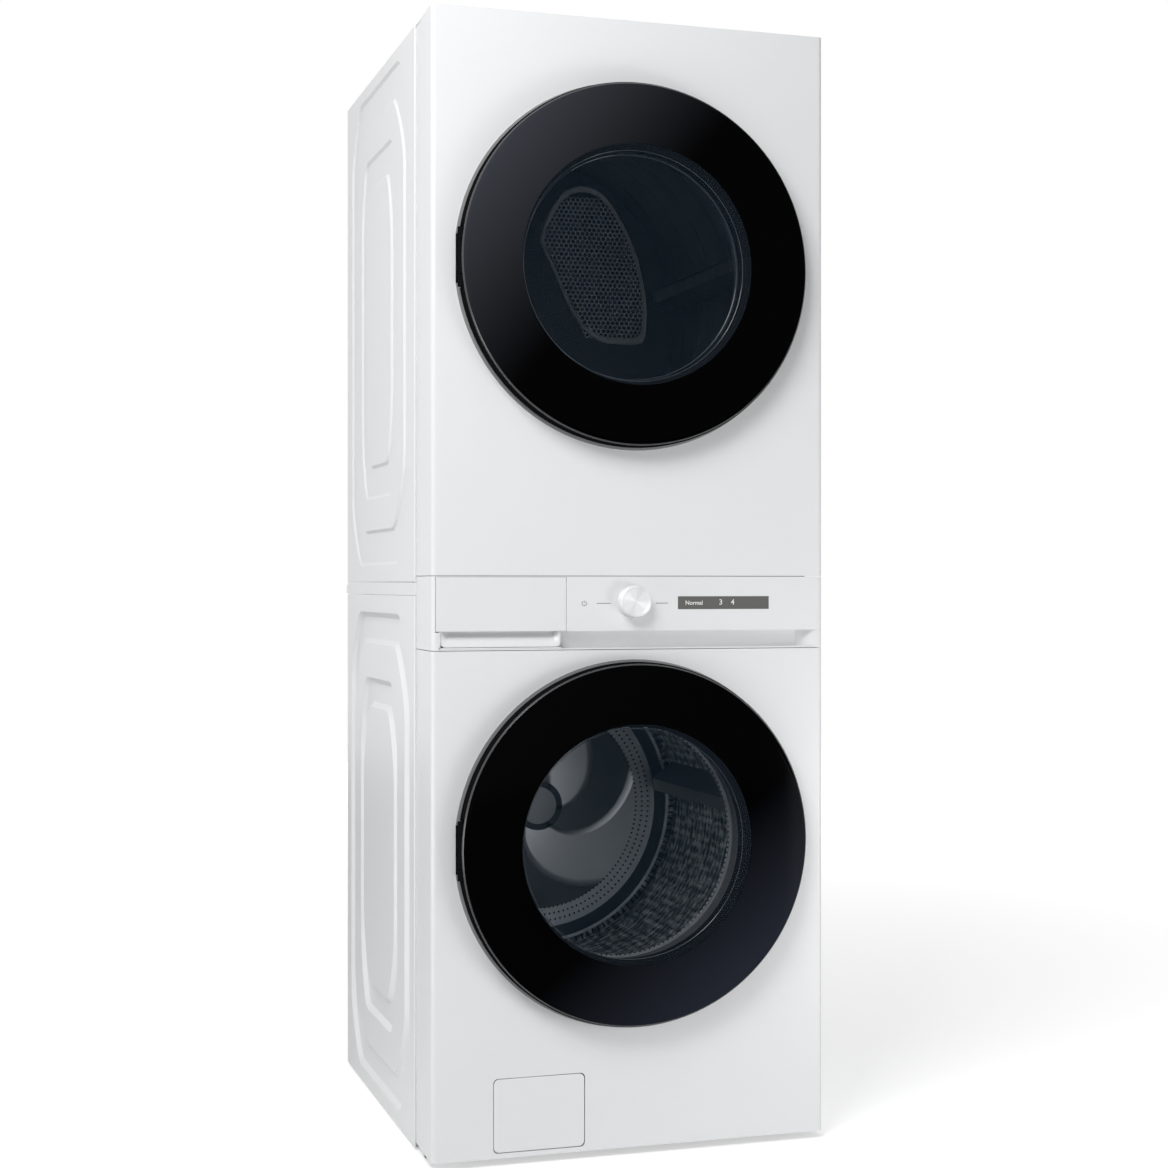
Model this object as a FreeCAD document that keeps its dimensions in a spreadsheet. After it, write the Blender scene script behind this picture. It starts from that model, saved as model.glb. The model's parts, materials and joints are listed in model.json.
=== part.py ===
import FreeCAD, Part
import Sketcher
import math
import os
import re

# A front-loading washer with a dryer above it in one free-standing cabinet.
# Frame: X to the right, Y from front to back, Z up, millimetres.
# The origin is the middle of the footprint on the floor.

SIZES = {
    # Cabinet
    "half_width": 343.0,
    "front_face": -367.0,
    "cabinet_back": 390.0,
    "rear_limit": 400.0,
    "overall_height": 1889.0,
    "front_foot": 13.0,
    "side_foot": 5.0,
    "sheet": 1.2,
    "seam": 0.5,
    "wrap_back": -237.0,
    "corner_radius": 8.0,
    "console_low": 842.0,
    "console_high": 964.0,
    "deck_low": 931.0,
    "deck_high": 954.0,
    # Pressed side panels
    "washer_press": 8.0,
    "dryer_press": 3.5,
    "press_slant": 125.0,
    # Doors and their ports
    "washer_axis": 519.5,
    "dryer_axis": 1479.0,
    "port_radius": 210.0,
    "door_radius": 302.0,
    "glass_radius": 300.0,
    "glass_front": -400.0,
    "glass_back": -394.0,
    "rim_back": -370.0,
    "collar_radius": 199.0,
    "collar_back": -350.0,
    "window_radius": 194.0,
    "ring_radius": 306.0,
    "ring_front": -369.0,
    # Hinge and latch
    "hinge_x": -297.0,
    "hinge_y": -385.0,
    "knuckle_radius": 7.0,
    "pin_radius": 4.0,
    "running_gap": 0.05,
    "knuckle_half": 28.0,
    "hinge_half": 48.0,
    "hook_left": 258.0,
    "hook_right": 266.0,
    "hook_half": 10.0,
    "latch_gap": 6.0,
    # Console
    "fascia_low": 873.0,
    "groove_floor": 844.5,
    "groove_depth": 20.0,
    "groove_half": 331.0,
    "drawer_left": -336.0,
    "drawer_right": -116.2,
    "drawer_gap": 0.7,
    "drawer_top": 962.0,
    "pull_left": -327.0,
    "pull_right": -125.0,
    "pull_corner": 7.0,
    "tray_left": -326.0,
    "tray_right": -126.0,
    "tray_low": 880.0,
    "tray_high": 927.0,
    "tray_back": -20.0,
    "knob_height": 922.0,
    "knob_radius": 27.0,
    "knob_front": -386.0,
    "display_left": 79.5,
    "display_right": 243.5,
    "display_low": 908.5,
    "display_high": 930.2,
    # Filter door at the foot of the washer
    "flap_left": -239.0,
    "flap_right": -84.5,
    "flap_low": 22.0,
    "flap_high": 142.0,
    "flap_gap": 1.0,
    "flap_corner": 10.0,
    "flap_thick": 2.5,
    "flap_round": 1.2,
    "pump_x": -162.0,
    "pump_z": 82.0,
    "pump_radius": 40.0,
    "grip_half": 19.5,
    "drain_x": -205.0,
    "drain_z": 76.0,
    "drain_radius": 11.0,
    "spigot_front": 360.0,
    "hose_room": 2.5,
    # Feet
    "foot_x": 310.0,
    "foot_front": -280.0,
    "foot_rear": 340.0,
    "foot_radius": 25.0,
    "stud_radius": 6.0,
    "base_low": 18.0,
    "base_high": 60.0,
    # Washer drum, tub and suspension
    "tub_radius": 300.0,
    "tub_wall": 8.0,
    "tub_front": -300.0,
    "tub_back": 240.0,
    "drum_radius": 280.0,
    "drum_front": -288.0,
    "drum_back": 215.0,
    "drum_mouth": 200.0,
    "drum_wall": 1.5,
    "shaft_radius": 18.0,
    "spring_x": 240.0,
    "spring_y": 60.0,
    "spring_low": 735.0,
    "spring_high": 905.0,
    "damper_x": 150.0,
    "damper_y": -30.0,
    "damper_radius": 13.0,
    "rod_radius": 5.0,
    # Dryer drum and drive
    "tumbler_radius": 320.0,
    "tumbler_front": -300.0,
    "tumbler_back": 316.0,
    "tumbler_mouth": 215.0,
    "bulkhead_front": -306.0,
    "bulkhead_rear": 322.0,
    "bulkhead_sheet": 2.0,
    "roller_radius": 38.0,
    "roller_angle": 35.0,
    "contact_gap": 0.4,
    "axle_radius": 6.0,
    "roller_front": 290.0,
    "roller_back": 312.0,
    "motor_x": -150.0,
    "motor_z": 1075.0,
    "motor_radius": 65.0,
    "motor_front": -150.0,
    "motor_back": -20.0,
    "rotor_shaft": 8.0,
    "pulley_radius": 12.0,
    "pulley_front": 8.0,
    "pulley_back": 26.0,
    "idler_x": -250.0,
    "idler_z": 1110.0,
    "idler_radius": 30.0,
    "belt_front": 11.0,
    "belt_back": 23.0,
    "belt_thick": 2.0,
    "scroll_radius": 100.0,
    "scroll_front": -255.0,
    "scroll_back": -185.0,
    "duct_wall": 2.0,
    "exhaust_x": 60.0,
    "exhaust_z": 1025.0,
    "exhaust_radius": 50.8,
    "exhaust_end": 398.0,
    "heater_left": 20.0,
    "heater_right": 278.0,
    "heater_low": 1150.0,
    "heater_high": 1766.0,
    "grille_pitch": 11.6,
    "grille_hole": 4.6,
    # Lint filter
    "filter_half": 90.0,
    "filter_front": -326.0,
    "filter_back": -314.0,
    "filter_low": 1128.0,
    "filter_high": 1276.0,
    # Rear connections
    "valve_x": 170.0,
    "valve_pitch": 60.0,
    "valve_z": 880.0,
    "valve_radius": 13.2,
    "valve_end": 399.0,
    "cover_left": -300.0,
    "cover_right": -180.0,
    "cover_low": 985.0,
    "cover_high": 1105.0,
    "cover_hole": 11.0,
    "screw_radius": 5.0,
}

# The hot air grille's outline: X and Z from the drum's axis
GRILLE_OUTLINE = [(126.0, -26.0), (234.0, -30.0), (248.0, -18.0), (251.0, 50.0), (229.0, 148.0),
                  (186.0, 226.0), (150.0, 262.0), (96.0, 262.0), (60.0, 214.0), (38.0, 158.0),
                  (58.0, 126.0)]
GRILLE_REACH = 300.0

doc = FreeCAD.newDocument("washer_dryer_stack")
sheet = doc.addObject("Spreadsheet::Sheet", "sizes")
for row, (alias, value) in enumerate(SIZES.items(), start=1):
    sheet.set("A%d" % row, alias)
    sheet.set("B%d" % row, str(value))
    sheet.setAlias("B%d" % row, alias)
doc.recompute()

Vector = FreeCAD.Vector
TURNS = {
    "x": FreeCAD.Rotation(Vector(0, 1, 0), 90),
    "y": FreeCAD.Rotation(Vector(1, 0, 0), -90),
    "z": FreeCAD.Rotation(),
}
nodes = []


# ---------------------------------------------------------------- helpers

def expand(text):
    """Write an expression on the sheet's aliases as FreeCAD reads it."""
    def qualify(match):
        word = match.group()
        return "sizes." + word if word in SIZES else word
    return re.sub(r"[a-z_][a-z_0-9]*", qualify, str(text))


def keep(node, item):
    """Make an object the sub-part that the named node holds."""
    item.Label = node
    nodes.append(item)
    return item


def place(item, x, y, z):
    """Bind an object's position to expressions."""
    for axis, text in zip("xyz", (x, y, z)):
        item.setExpression("Placement.Base." + axis, expand(text))


def box(name, x, y, z):
    """A block between a low and a high expression along each axis."""
    item = doc.addObject("Part::Box", name)
    for prop, (low, high) in zip(("Length", "Width", "Height"), (x, y, z)):
        item.setExpression(prop, expand("(%s) - (%s)" % (high, low)))
    place(item, x[0], y[0], z[0])
    return item


def rod(name, axis, radius, centre, low, high):
    """A round bar along an axis, from low to high, about a centre in the other two axes."""
    item = doc.addObject("Part::Cylinder", name)
    item.Placement = FreeCAD.Placement(Vector(), TURNS[axis])
    item.setExpression("Radius", expand(radius))
    item.setExpression("Height", expand("(%s) - (%s)" % (high, low)))
    start = list(centre)
    start.insert("xyz".index(axis), low)
    place(item, *start)
    return item


def fuse(name, items):
    """Join overlapping shapes into one solid."""
    item = doc.addObject("Part::MultiFuse", name)
    item.Shapes = items
    item.Refine = True
    return item


def cut(name, base, tools):
    """Take tools away from a base."""
    item = doc.addObject("Part::Cut", name)
    item.Base = base
    item.Tool = tools[0] if len(tools) == 1 else fuse(name + "_tools", tools)
    return item


def group(name, items):
    """Hold several separate solids in one object."""
    item = doc.addObject("Part::Compound", name)
    item.Links = items
    return item


def pipe(name, axis, outer, inner, centre, low, high):
    """A round tube along an axis."""
    wall = rod(name + "_outer", axis, outer, centre, low, high)
    bore = rod(name + "_inner", axis, inner, centre, "(%s) - 1" % low, "(%s) + 1" % high)
    return cut(name, wall, [bore])


def new_body(name, x="0", y="0", z="0"):
    """A body placed by expressions."""
    body = doc.addObject("PartDesign::Body", name)
    place(body, x, y, z)
    return body


def new_sketch(body, name, role, offset="0"):
    """A sketch on one of the body's own origin planes, moved along its normal."""
    sketch = body.newObject("Sketcher::SketchObject", name)
    plane = next(f for f in body.Origin.OriginFeatures if f.Role == role)
    sketch.AttachmentSupport = [(plane, "")]
    sketch.MapMode = "FlatFace"
    sketch.setExpression("AttachmentOffset.Base.z", expand(offset))
    return sketch


def constrain(sketch, kind, text, *where):
    """Add a dimension and bind it to an expression."""
    index = sketch.addConstraint(Sketcher.Constraint(kind, *where, 1.0))
    sketch.setExpression("Constraints[%d]" % index, expand(text))


def polygon(sketch, points):
    """A closed outline whose corners are bound to expressions."""
    count = len(points)
    first = sketch.GeometryCount
    start = [Vector(math.cos(2 * math.pi * i / count), math.sin(2 * math.pi * i / count), 0)
             for i in range(count)]
    for i in range(count):
        sketch.addGeometry(Part.LineSegment(start[i], start[(i + 1) % count]), False)
    for i in range(count):
        follower = first + (i + 1) % count
        sketch.addConstraint(Sketcher.Constraint("Coincident", first + i, 2, follower, 1))
    for i, (across, up) in enumerate(points):
        constrain(sketch, "DistanceX", across, first + i, 1)
        constrain(sketch, "DistanceY", up, first + i, 1)


def rectangle(sketch, across, up):
    """A rectangle between low and high expressions."""
    polygon(sketch, [(across[0], up[0]), (across[1], up[0]), (across[1], up[1]), (across[0], up[1])])


def circle(sketch, across, up, radius):
    """A circle bound to expressions."""
    index = sketch.addGeometry(Part.Circle(Vector(1, 1, 0), Vector(0, 0, 1), 2), False)
    constrain(sketch, "DistanceX", across, index, 3)
    constrain(sketch, "DistanceY", up, index, 3)
    constrain(sketch, "Radius", radius, index)


def pad(body, sketch, length):
    """Raise a sketch along its normal."""
    feature = body.newObject("PartDesign::Pad", sketch.Name + "_pad")
    feature.Profile = sketch
    feature.setExpression("Length", expand(length))
    doc.recompute()
    return feature


def pocket(body, sketch, length, backwards=False):
    """Cut a sketch into the body along or against its normal."""
    before = body.Shape.Volume
    feature = body.newObject("PartDesign::Pocket", sketch.Name + "_pocket")
    feature.Profile = sketch
    feature.Reversed = backwards
    feature.setExpression("Length", expand(length))
    doc.recompute()
    if body.Shape.Volume >= before:
        raise RuntimeError(sketch.Name + " cuts nothing")
    return feature


def round_edges(body, name, feature, radius, wanted):
    """Round the edges of a feature that a test on the edge picks."""
    chosen = ["Edge%d" % (i + 1) for i, edge in enumerate(feature.Shape.Edges) if wanted(edge)]
    fillet = body.newObject("PartDesign::Fillet", name)
    fillet.Base = (feature, chosen)
    fillet.setExpression("Radius", expand(radius))
    doc.recompute()
    return fillet


def runs_back(edge):
    """Whether an edge is a line along Y."""
    first, last = edge.Vertexes[0], edge.Vertexes[-1]
    return abs(first.X - last.X) < 0.01 and abs(first.Z - last.Z) < 0.01 and abs(first.Y - last.Y) > 0.5


def turned(name, points, height):
    """A solid turned about a line along Y at a height: points are radius and Y."""
    body = new_body(name, z=height)
    sketch = new_sketch(body, name + "_section", "XY_Plane")
    polygon(sketch, points)
    feature = body.newObject("PartDesign::Revolution", name + "_turn")
    feature.Profile = sketch
    feature.ReferenceAxis = (sketch, ["V_Axis"])
    feature.Angle = 360
    return body


# ---------------------------------------------------------------- cabinet shells

def vertical_at(x, y):
    """A test for the upright edges at a place, on either side of the cabinet."""
    def wanted(edge):
        ends = [vertex.Point for vertex in edge.Vertexes]
        if len(ends) != 2 or abs(ends[0].z - ends[1].z) < 1:
            return False
        return all(abs(abs(p.x) - x) < 0.01 and abs(p.y - y) < 0.01 for p in ends)
    return wanted


def wrapped_panel(name, low, high):
    """A sheet across the front that turns back along both sides, with rounded corners."""
    body = new_body(name)
    sketch = new_sketch(body, name + "_section", "XY_Plane", low)
    edge, inner = "half_width", "half_width - sheet"
    front, inside = "front_face", "front_face + sheet"
    polygon(sketch, [
        ("-" + edge, "wrap_back"), ("-" + edge, front), (edge, front), (edge, "wrap_back"),
        (inner, "wrap_back"), (inner, inside), ("-(%s)" % inner, inside), ("-(%s)" % inner, "wrap_back"),
    ])
    wall = pad(body, sketch, "(%s) - (%s)" % (high, low))
    half, face, skin = SIZES["half_width"], SIZES["front_face"], SIZES["sheet"]
    outer = round_edges(body, name + "_outer", wall, "corner_radius", vertical_at(half, face))
    round_edges(body, name + "_inner", outer, "corner_radius - sheet",
                vertical_at(half - skin, face + skin))
    return body


def front_pocket(body, name, draw, depth="sheet + 2"):
    """Cut an outline on the XZ plane through the front sheet."""
    sketch = new_sketch(body, name, "XZ_Plane", "-front_face + 1")
    draw(sketch)
    return pocket(body, sketch, depth + " + 1")


def door_port(body, name, height):
    """The round port and the latch slot of a door."""
    front_pocket(body, name + "_port", lambda s: circle(s, "0", height, "port_radius"))
    front_pocket(body, name + "_slot", lambda s: rectangle(
        s, ("hook_left - latch_gap", "hook_right + latch_gap"),
        (height + " - hook_half - latch_gap", height + " + hook_half + latch_gap")))


def washer_front():
    """The washer's front, with the port, the latch slot and the filter opening."""
    body = wrapped_panel("washer_front_panel", "front_foot", "console_low - seam")
    door_port(body, "washer_door", "washer_axis")
    opening = front_pocket(body, "flap_opening", lambda s: rectangle(
        s, ("flap_left - flap_gap", "flap_right + flap_gap"),
        ("flap_low - flap_gap", "flap_high + flap_gap")))
    sides = (SIZES["flap_left"] - SIZES["flap_gap"], SIZES["flap_right"] + SIZES["flap_gap"])
    round_edges(body, "flap_opening_corners", opening, "flap_corner - 2", lambda edge: (
        runs_back(edge) and min(abs(edge.Vertexes[0].X - side) for side in sides) < 0.01
        and edge.Vertexes[0].Z < SIZES["flap_high"] + 2))
    keep("washer_front_panel", body)


def dryer_front():
    """The dryer's front, with the port and the latch slot."""
    body = wrapped_panel("dryer_front_panel", "console_high + seam", "overall_height")
    door_port(body, "dryer_door", "dryer_axis")
    keep("dryer_front_panel", body)


def console():
    """The console shell: a fascia above a finger groove, open for the drawer, knob and display."""
    body = wrapped_panel("control_console", "console_low + seam", "console_high - seam")
    block = new_sketch(body, "groove_block", "XZ_Plane", "-front_face - sheet - groove_depth")
    rectangle(block, ("-groove_half - 2", "groove_half + 2"), ("console_low + seam", "fascia_low + 2"))
    pad(body, block, "groove_depth + sheet / 2")
    front_pocket(body, "groove", lambda s: rectangle(
        s, ("-groove_half", "groove_half"), ("groove_floor", "fascia_low")), "groove_depth - 1")
    front_pocket(body, "drawer_opening", lambda s: rectangle(
        s, ("drawer_left - drawer_gap", "drawer_right + drawer_gap"),
        ("fascia_low + 2", "drawer_top + drawer_gap / 2")))
    front_pocket(body, "drawer_sill", lambda s: rectangle(
        s, ("drawer_left - drawer_gap", "drawer_right + drawer_gap"),
        ("fascia_low - 1", "fascia_low + 3")), "6 + sheet * 5")
    front_pocket(body, "knob_hole", lambda s: circle(s, "0", "knob_height", "6"))
    front_pocket(body, "display_hole", lambda s: rectangle(
        s, ("display_left", "display_right"), ("display_low", "display_high")))
    keep("control_console", body)
    keep("display_window", box("display_window", ("display_left", "display_right"),
                               ("front_face - 0.2", "front_face + 2.5"),
                               ("display_low", "display_high")))


def barrel_wire(x, half_mid, half_end, low, high, growth):
    """A closed outline in the side's plane: straight ends, leaning shoulders and a straight waist."""
    centre = (SIZES["wrap_back"] + SIZES["cabinet_back"]) / 2
    slant = SIZES["press_slant"]
    wide, narrow = half_mid + growth, half_end + growth * 0.7
    shoulder = narrow + (wide - narrow) * 0.62
    rise = [(narrow, low - growth), (shoulder, low + slant * 0.45), (wide, low + slant)]
    fall = [(wide, high - slant), (shoulder, high - slant * 0.45), (narrow, high + growth)]
    right = [Vector(x, centre + y, z) for y, z in rise + fall]
    left = [Vector(x, centre - y, z) for y, z in reversed(rise + fall)]
    return Part.makePolygon(right + left + right[:1])


def press_channel(x, outer, inner, depth, growth):
    """The groove between two nested outlines, with 45 degree walls, sunk to a depth."""
    def frustum(outline, top, foot):
        wires = [barrel_wire(x, *outline, top), barrel_wire(x + depth, *outline, foot)]
        return Part.makeLoft(wires, True, True)
    whole = frustum(outer, growth, growth - depth)
    return whole.cut(frustum(inner, -growth, depth - growth))


def side_panels(machine, low, high, depth, outlines):
    """Both side panels of one machine, each a sheet with two pressed grooves."""
    edge, skin = -SIZES["half_width"], SIZES["sheet"]
    start = SIZES["wrap_back"] + SIZES["seam"]
    plate = Part.makeBox(skin, SIZES["cabinet_back"] - start, high - low, Vector(edge, start, low))
    for outer, inner in (outlines[:2], outlines[2:]):
        plate = plate.fuse(press_channel(edge + skin, outer, inner, depth, skin * 0.42))
        plate = plate.cut(press_channel(edge, outer, inner, depth, 0))
    for side, shape in (("left", plate), ("right", plate.mirror(Vector(), Vector(1, 0, 0)))):
        item = doc.addObject("Part::Feature", machine + "_side_" + side)
        item.Shape = shape
        item.Placement = FreeCAD.Placement()
        keep(machine + "_side_" + side, item)


def top_cover(across):
    """The lid, set inside the walls, with its front corners rounded to follow the front panel."""
    body = new_body("top_cover")
    sketch = new_sketch(body, "cover_outline", "XY_Plane", "overall_height - sheet - 1")
    rectangle(sketch, across, ("front_face + sheet + 0.3", "cabinet_back - 2.5"))
    plate = pad(body, sketch, "sheet")
    start = SIZES["front_face"] + SIZES["sheet"] + 0.3
    inner = SIZES["half_width"] - SIZES["sheet"] - 0.3
    round_edges(body, "cover_corners", plate, "corner_radius - sheet", vertical_at(inner, start))
    return body


def shells():
    """Side, rear and top panels, the base pan and the deck between the two machines."""
    side_panels("washer", SIZES["side_foot"], SIZES["deck_low"], SIZES["washer_press"],
                [(241, 185, 42, 897), (217, 150, 98, 842), (152, 118, 163, 776), (115, 74, 213, 724)])
    side_panels("dryer", SIZES["deck_high"], SIZES["overall_height"], SIZES["dryer_press"],
                [(241, 185, 988, 1856), (217, 150, 1045, 1794), (152, 118, 1107, 1732),
                 (115, 74, 1165, 1676)])
    inside = "half_width - sheet - 0.3"
    across = ("-(%s)" % inside, inside)
    keep("top_cover", top_cover(across))
    back = ("cabinet_back - sheet", "cabinet_back")
    wall = box("washer_back_wall", across, back, ("base_low", "deck_low - seam"))
    holes = [rod("drain_hole", "y", "drain_radius + hose_room", ("drain_x", "drain_z"),
                 "cabinet_back - 4", "cabinet_back + 2")]
    for i in range(2):
        holes.append(rod("valve_hole_%d" % i, "y", "valve_radius + hose_room",
                         ("valve_x + %d * valve_pitch" % i, "valve_z"),
                         "cabinet_back - 4", "cabinet_back + 2"))
    keep("washer_rear_panel", cut("washer_rear_panel", wall, holes))
    wall = box("dryer_back_wall", across, back, ("deck_high + seam", "overall_height - 1"))
    hole = rod("exhaust_hole", "y", "exhaust_radius + hose_room", ("exhaust_x", "exhaust_z"),
               "cabinet_back - 4", "cabinet_back + 2")
    keep("dryer_rear_panel", cut("dryer_rear_panel", wall, [hole]))


def base_and_deck():
    """The base pan on its feet, and the deck that carries the dryer and hangs the tub."""
    inside = "half_width - sheet - washer_press - 2.5"
    pan = box("pan_block", ("-(%s)" % inside, inside), ("front_face + 8", "cabinet_back - 4"),
              ("base_low", "base_high"))
    well = box("pan_well", ("-(%s) + 2" % inside, inside + " - 2"),
               ("front_face + 10", "cabinet_back - 6"), ("base_low + 2", "base_high + 1"))
    holes = []
    spots = [(x, y) for x in ("-foot_x", "foot_x") for y in ("foot_front", "foot_rear")]
    for i, spot in enumerate(spots):
        holes.append(rod("foot_hole_%d" % i, "z", "stud_radius + running_gap", spot,
                         "base_low - 1", "base_low + 3"))
    keep("base_frame", cut("base_frame", pan, [well] + holes))
    block = box("deck_block", ("-half_width + 1", "half_width - 1"), ("wrap_back + seam", "cabinet_back"),
                ("deck_low + seam", "deck_high - seam"))
    hollow = box("deck_hollow", ("-half_width + 3", "half_width - 3"),
                 ("wrap_back + seam + 2", "cabinet_back - 2"), ("deck_low", "deck_high - seam - 2"))
    deck = [cut("deck_pan", block, [hollow])]
    for side, x, tab in (("left", "-spring_x", ("-half_width", "-half_width + 18")),
                         ("right", "spring_x", ("half_width - 18", "half_width"))):
        deck.append(box("hanger_" + side, (x + " - 8", x + " + 8"), ("spring_y - 5", "spring_y + 5"),
                        ("spring_high", "deck_high - seam - 1")))
        deck.append(box("stack_tab_" + side, tab, ("cabinet_back - 1", "rear_limit"),
                        ("deck_low + 2", "deck_low + 18")))
    keep("mid_deck", fuse("mid_deck", deck))


def screws():
    """Pan-head screws round both rear panels."""
    heads = []
    for column in ("-half_width + 12", "0", "half_width - 12"):
        for height in ("40", "deck_low - 10", "deck_high + 12", "overall_height - 12"):
            heads.append(rod("screw_%d" % len(heads), "y", "screw_radius", (column, height),
                             "cabinet_back", "cabinet_back + 2.5"))
    keep("panel_screws", group("panel_screws", heads))


# ---------------------------------------------------------------- doors

def door(machine, height, glass_points, glass_name):
    """One door: rim and collar, outer glass, inner glass and hinge."""
    near = "%s - hinge_half - 1" % height
    far = "%s + hinge_half + 1" % height
    rim = turned(machine + "_rim", [
        ("window_radius", "glass_back"), ("door_radius", "glass_back"), ("door_radius", "rim_back - 2"),
        ("door_radius - 2", "rim_back"), ("collar_radius", "rim_back"), ("collar_radius", "collar_back"),
        ("window_radius", "collar_back")], height)
    notch = box(machine + "_notch", ("-door_radius - 1", "hinge_x + 29"),
                ("glass_back - 1", "rim_back + 1"), (near, far))
    cut_rim = cut(machine + "_cut_rim", rim, [notch])
    stem = box(machine + "_hook_stem", ("hook_left", "hook_right - 3"), ("rim_back - 1", "rim_back + 18"),
               (height + " - hook_half", height + " + hook_half"))
    barb = box(machine + "_hook_barb", ("hook_right - 4", "hook_right"),
               ("rim_back + 12", "rim_back + 18"), (height + " - hook_half", height + " + hook_half"))
    keep(machine + "_door_frame", fuse(machine + "_door_frame", [cut_rim, stem, barb]))
    disc = turned(machine + "_door_glass", [
        ("0", "glass_front"), ("glass_radius - 4", "glass_front"), ("glass_radius", "glass_front + 3"),
        ("glass_radius", "glass_back"), ("0", "glass_back")], height)
    keep(machine + "_door_glass", disc)
    keep(machine + "_" + glass_name, turned(machine + "_" + glass_name, glass_points, height))
    leaves = [rod(machine + "_pin", "z", "pin_radius", ("hinge_x", "hinge_y"),
                  height + " - hinge_half", height + " + hinge_half")]
    for side, low, high in (("low", "-hinge_half", "-knuckle_half - 1"),
                            ("high", "knuckle_half + 1", "hinge_half")):
        span = ("%s + (%s)" % (height, low), "%s + (%s)" % (height, high))
        leaves.append(rod(machine + "_knuckle_" + side, "z", "knuckle_radius",
                          ("hinge_x", "hinge_y"), *span))
        leaves.append(box(machine + "_leaf_" + side, ("hinge_x + 1", "hinge_x + 29"),
                          ("hinge_y - 3", "hinge_y + 3"), span))
    keep(machine + "_door_hinge", fuse(machine + "_door_hinge", leaves))


def door_fittings():
    """The fixed hinge brackets, the latches and the trim rings, one for each door."""
    brackets, latches, rings = [], [], []
    for machine, height in (("washer", "washer_axis"), ("dryer", "dryer_axis")):
        low, high = height + " - knuckle_half", height + " + knuckle_half"
        plate = box(machine + "_hinge_plate", ("hinge_x - 6", "hinge_x + 12"),
                    ("ring_front", "front_face"), (height + " - 40", height + " + 40"))
        arm = box(machine + "_hinge_arm", ("hinge_x - 4", "hinge_x + 4"),
                  ("hinge_y + 5", "ring_front + 1"), (low, high))
        eye = rod(machine + "_hinge_eye", "z", "knuckle_radius", ("hinge_x", "hinge_y"), low, high)
        bore = rod(machine + "_hinge_bore", "z", "pin_radius + running_gap",
                   ("hinge_x", "hinge_y"), low + " - 1", high + " + 1")
        brackets.append(cut(machine + "_hinge_bracket",
                            fuse(machine + "_bracket_body", [plate, arm, eye]), [bore]))
        case = box(machine + "_latch_case", ("hook_left - latch_gap - 6", "hook_right + latch_gap + 12"),
                   ("front_face + sheet", "front_face + 34"), (height + " - 30", height + " + 30"))
        mouth = box(machine + "_latch_mouth", ("hook_left - latch_gap", "hook_right + latch_gap"),
                    ("front_face", "front_face + 24"),
                    (height + " - hook_half - latch_gap", height + " + hook_half + latch_gap"))
        latches.append(cut(machine + "_latch", case, [mouth]))
        ring = pipe(machine + "_ring", "y", "ring_radius", "port_radius + 2", ("0", height),
                    "ring_front", "front_face")
        gap = box(machine + "_ring_gap", ("-ring_radius - 1", "hinge_x + 13"),
                  ("ring_front - 1", "front_face + 1"), (height + " - 41", height + " + 41"))
        slot = box(machine + "_ring_slot", ("hook_left - latch_gap", "hook_right + latch_gap"),
                   ("ring_front - 1", "front_face + 1"),
                   (height + " - hook_half - latch_gap", height + " + hook_half + latch_gap"))
        rings.append(cut(machine + "_trim_ring", ring, [gap, slot]))
    keep("hinge_brackets", group("hinge_brackets", brackets))
    keep("door_latches", group("door_latches", latches))
    keep("door_trim_rings", group("door_trim_rings", rings))


# ---------------------------------------------------------------- drawer, knob, filter flap

def drawer():
    """The detergent drawer with its hanging pull, and the housing it slides in."""
    panel = box("drawer_panel", ("drawer_left", "drawer_right"), ("front_face", "front_face + 8"),
                ("fascia_low + 0.6", "drawer_top"))
    pull = new_body("drawer_pull")
    outline = new_sketch(pull, "pull_outline", "XZ_Plane", "-front_face - 9")
    rectangle(outline, ("pull_left", "pull_right"), ("groove_floor + 3", "fascia_low + 2"))
    round_edges(pull, "pull_corners", pad(pull, outline, "4"), "pull_corner", lambda edge: (
        runs_back(edge) and edge.Vertexes[0].Z < SIZES["fascia_low"]))
    keep("drawer_front", fuse("drawer_front", [panel, pull]))
    block = box("tray_block", ("tray_left", "tray_right"), ("front_face + 9", "tray_back"),
                ("tray_low", "tray_high"))
    wells = []
    walls = ("tray_left + 2", "(tray_left + tray_right) / 2 + 20", "tray_right - 2")
    for i in range(2):
        low = walls[0] if i == 0 else walls[1] + " + 1"
        high = walls[1] + " - 1" if i == 0 else walls[2]
        wells.append(box("tray_well_%d" % i, (low, high), ("front_face + 12", "tray_back - 60"),
                         ("tray_low + 2", "tray_high + 1")))
    wells.append(box("softener_well", ("tray_left + 2", "tray_right - 2"),
                     ("tray_back - 58", "tray_back - 2"), ("tray_low + 2", "tray_high + 1")))
    keep("drawer_tray", cut("drawer_tray", block, wells))
    shell = box("housing_block", ("tray_left - 5", "tray_right + 5"), ("front_face + 23", "tray_back + 12"),
                ("tray_low - 3.5", "tray_high + 3.5"))
    room = box("housing_room", ("tray_left - 3", "tray_right + 3"), ("front_face + 22", "tray_back + 10"),
               ("tray_low - 1.5", "tray_high + 1.5"))
    keep("dispenser_housing", cut("dispenser_housing", shell, [room]))


def knob():
    """The programme knob on its spindle."""
    keep("cycle_knob", turned("cycle_knob", [
        ("0", "knob_front"), ("knob_radius - 3", "knob_front"), ("knob_radius - 1", "knob_front + 1"),
        ("knob_radius", "knob_front + 3"), ("knob_radius", "front_face - 0.8"), ("4", "front_face - 0.8"),
        ("4", "front_face + 16"), ("0", "front_face + 16")], "knob_height"))


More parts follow.
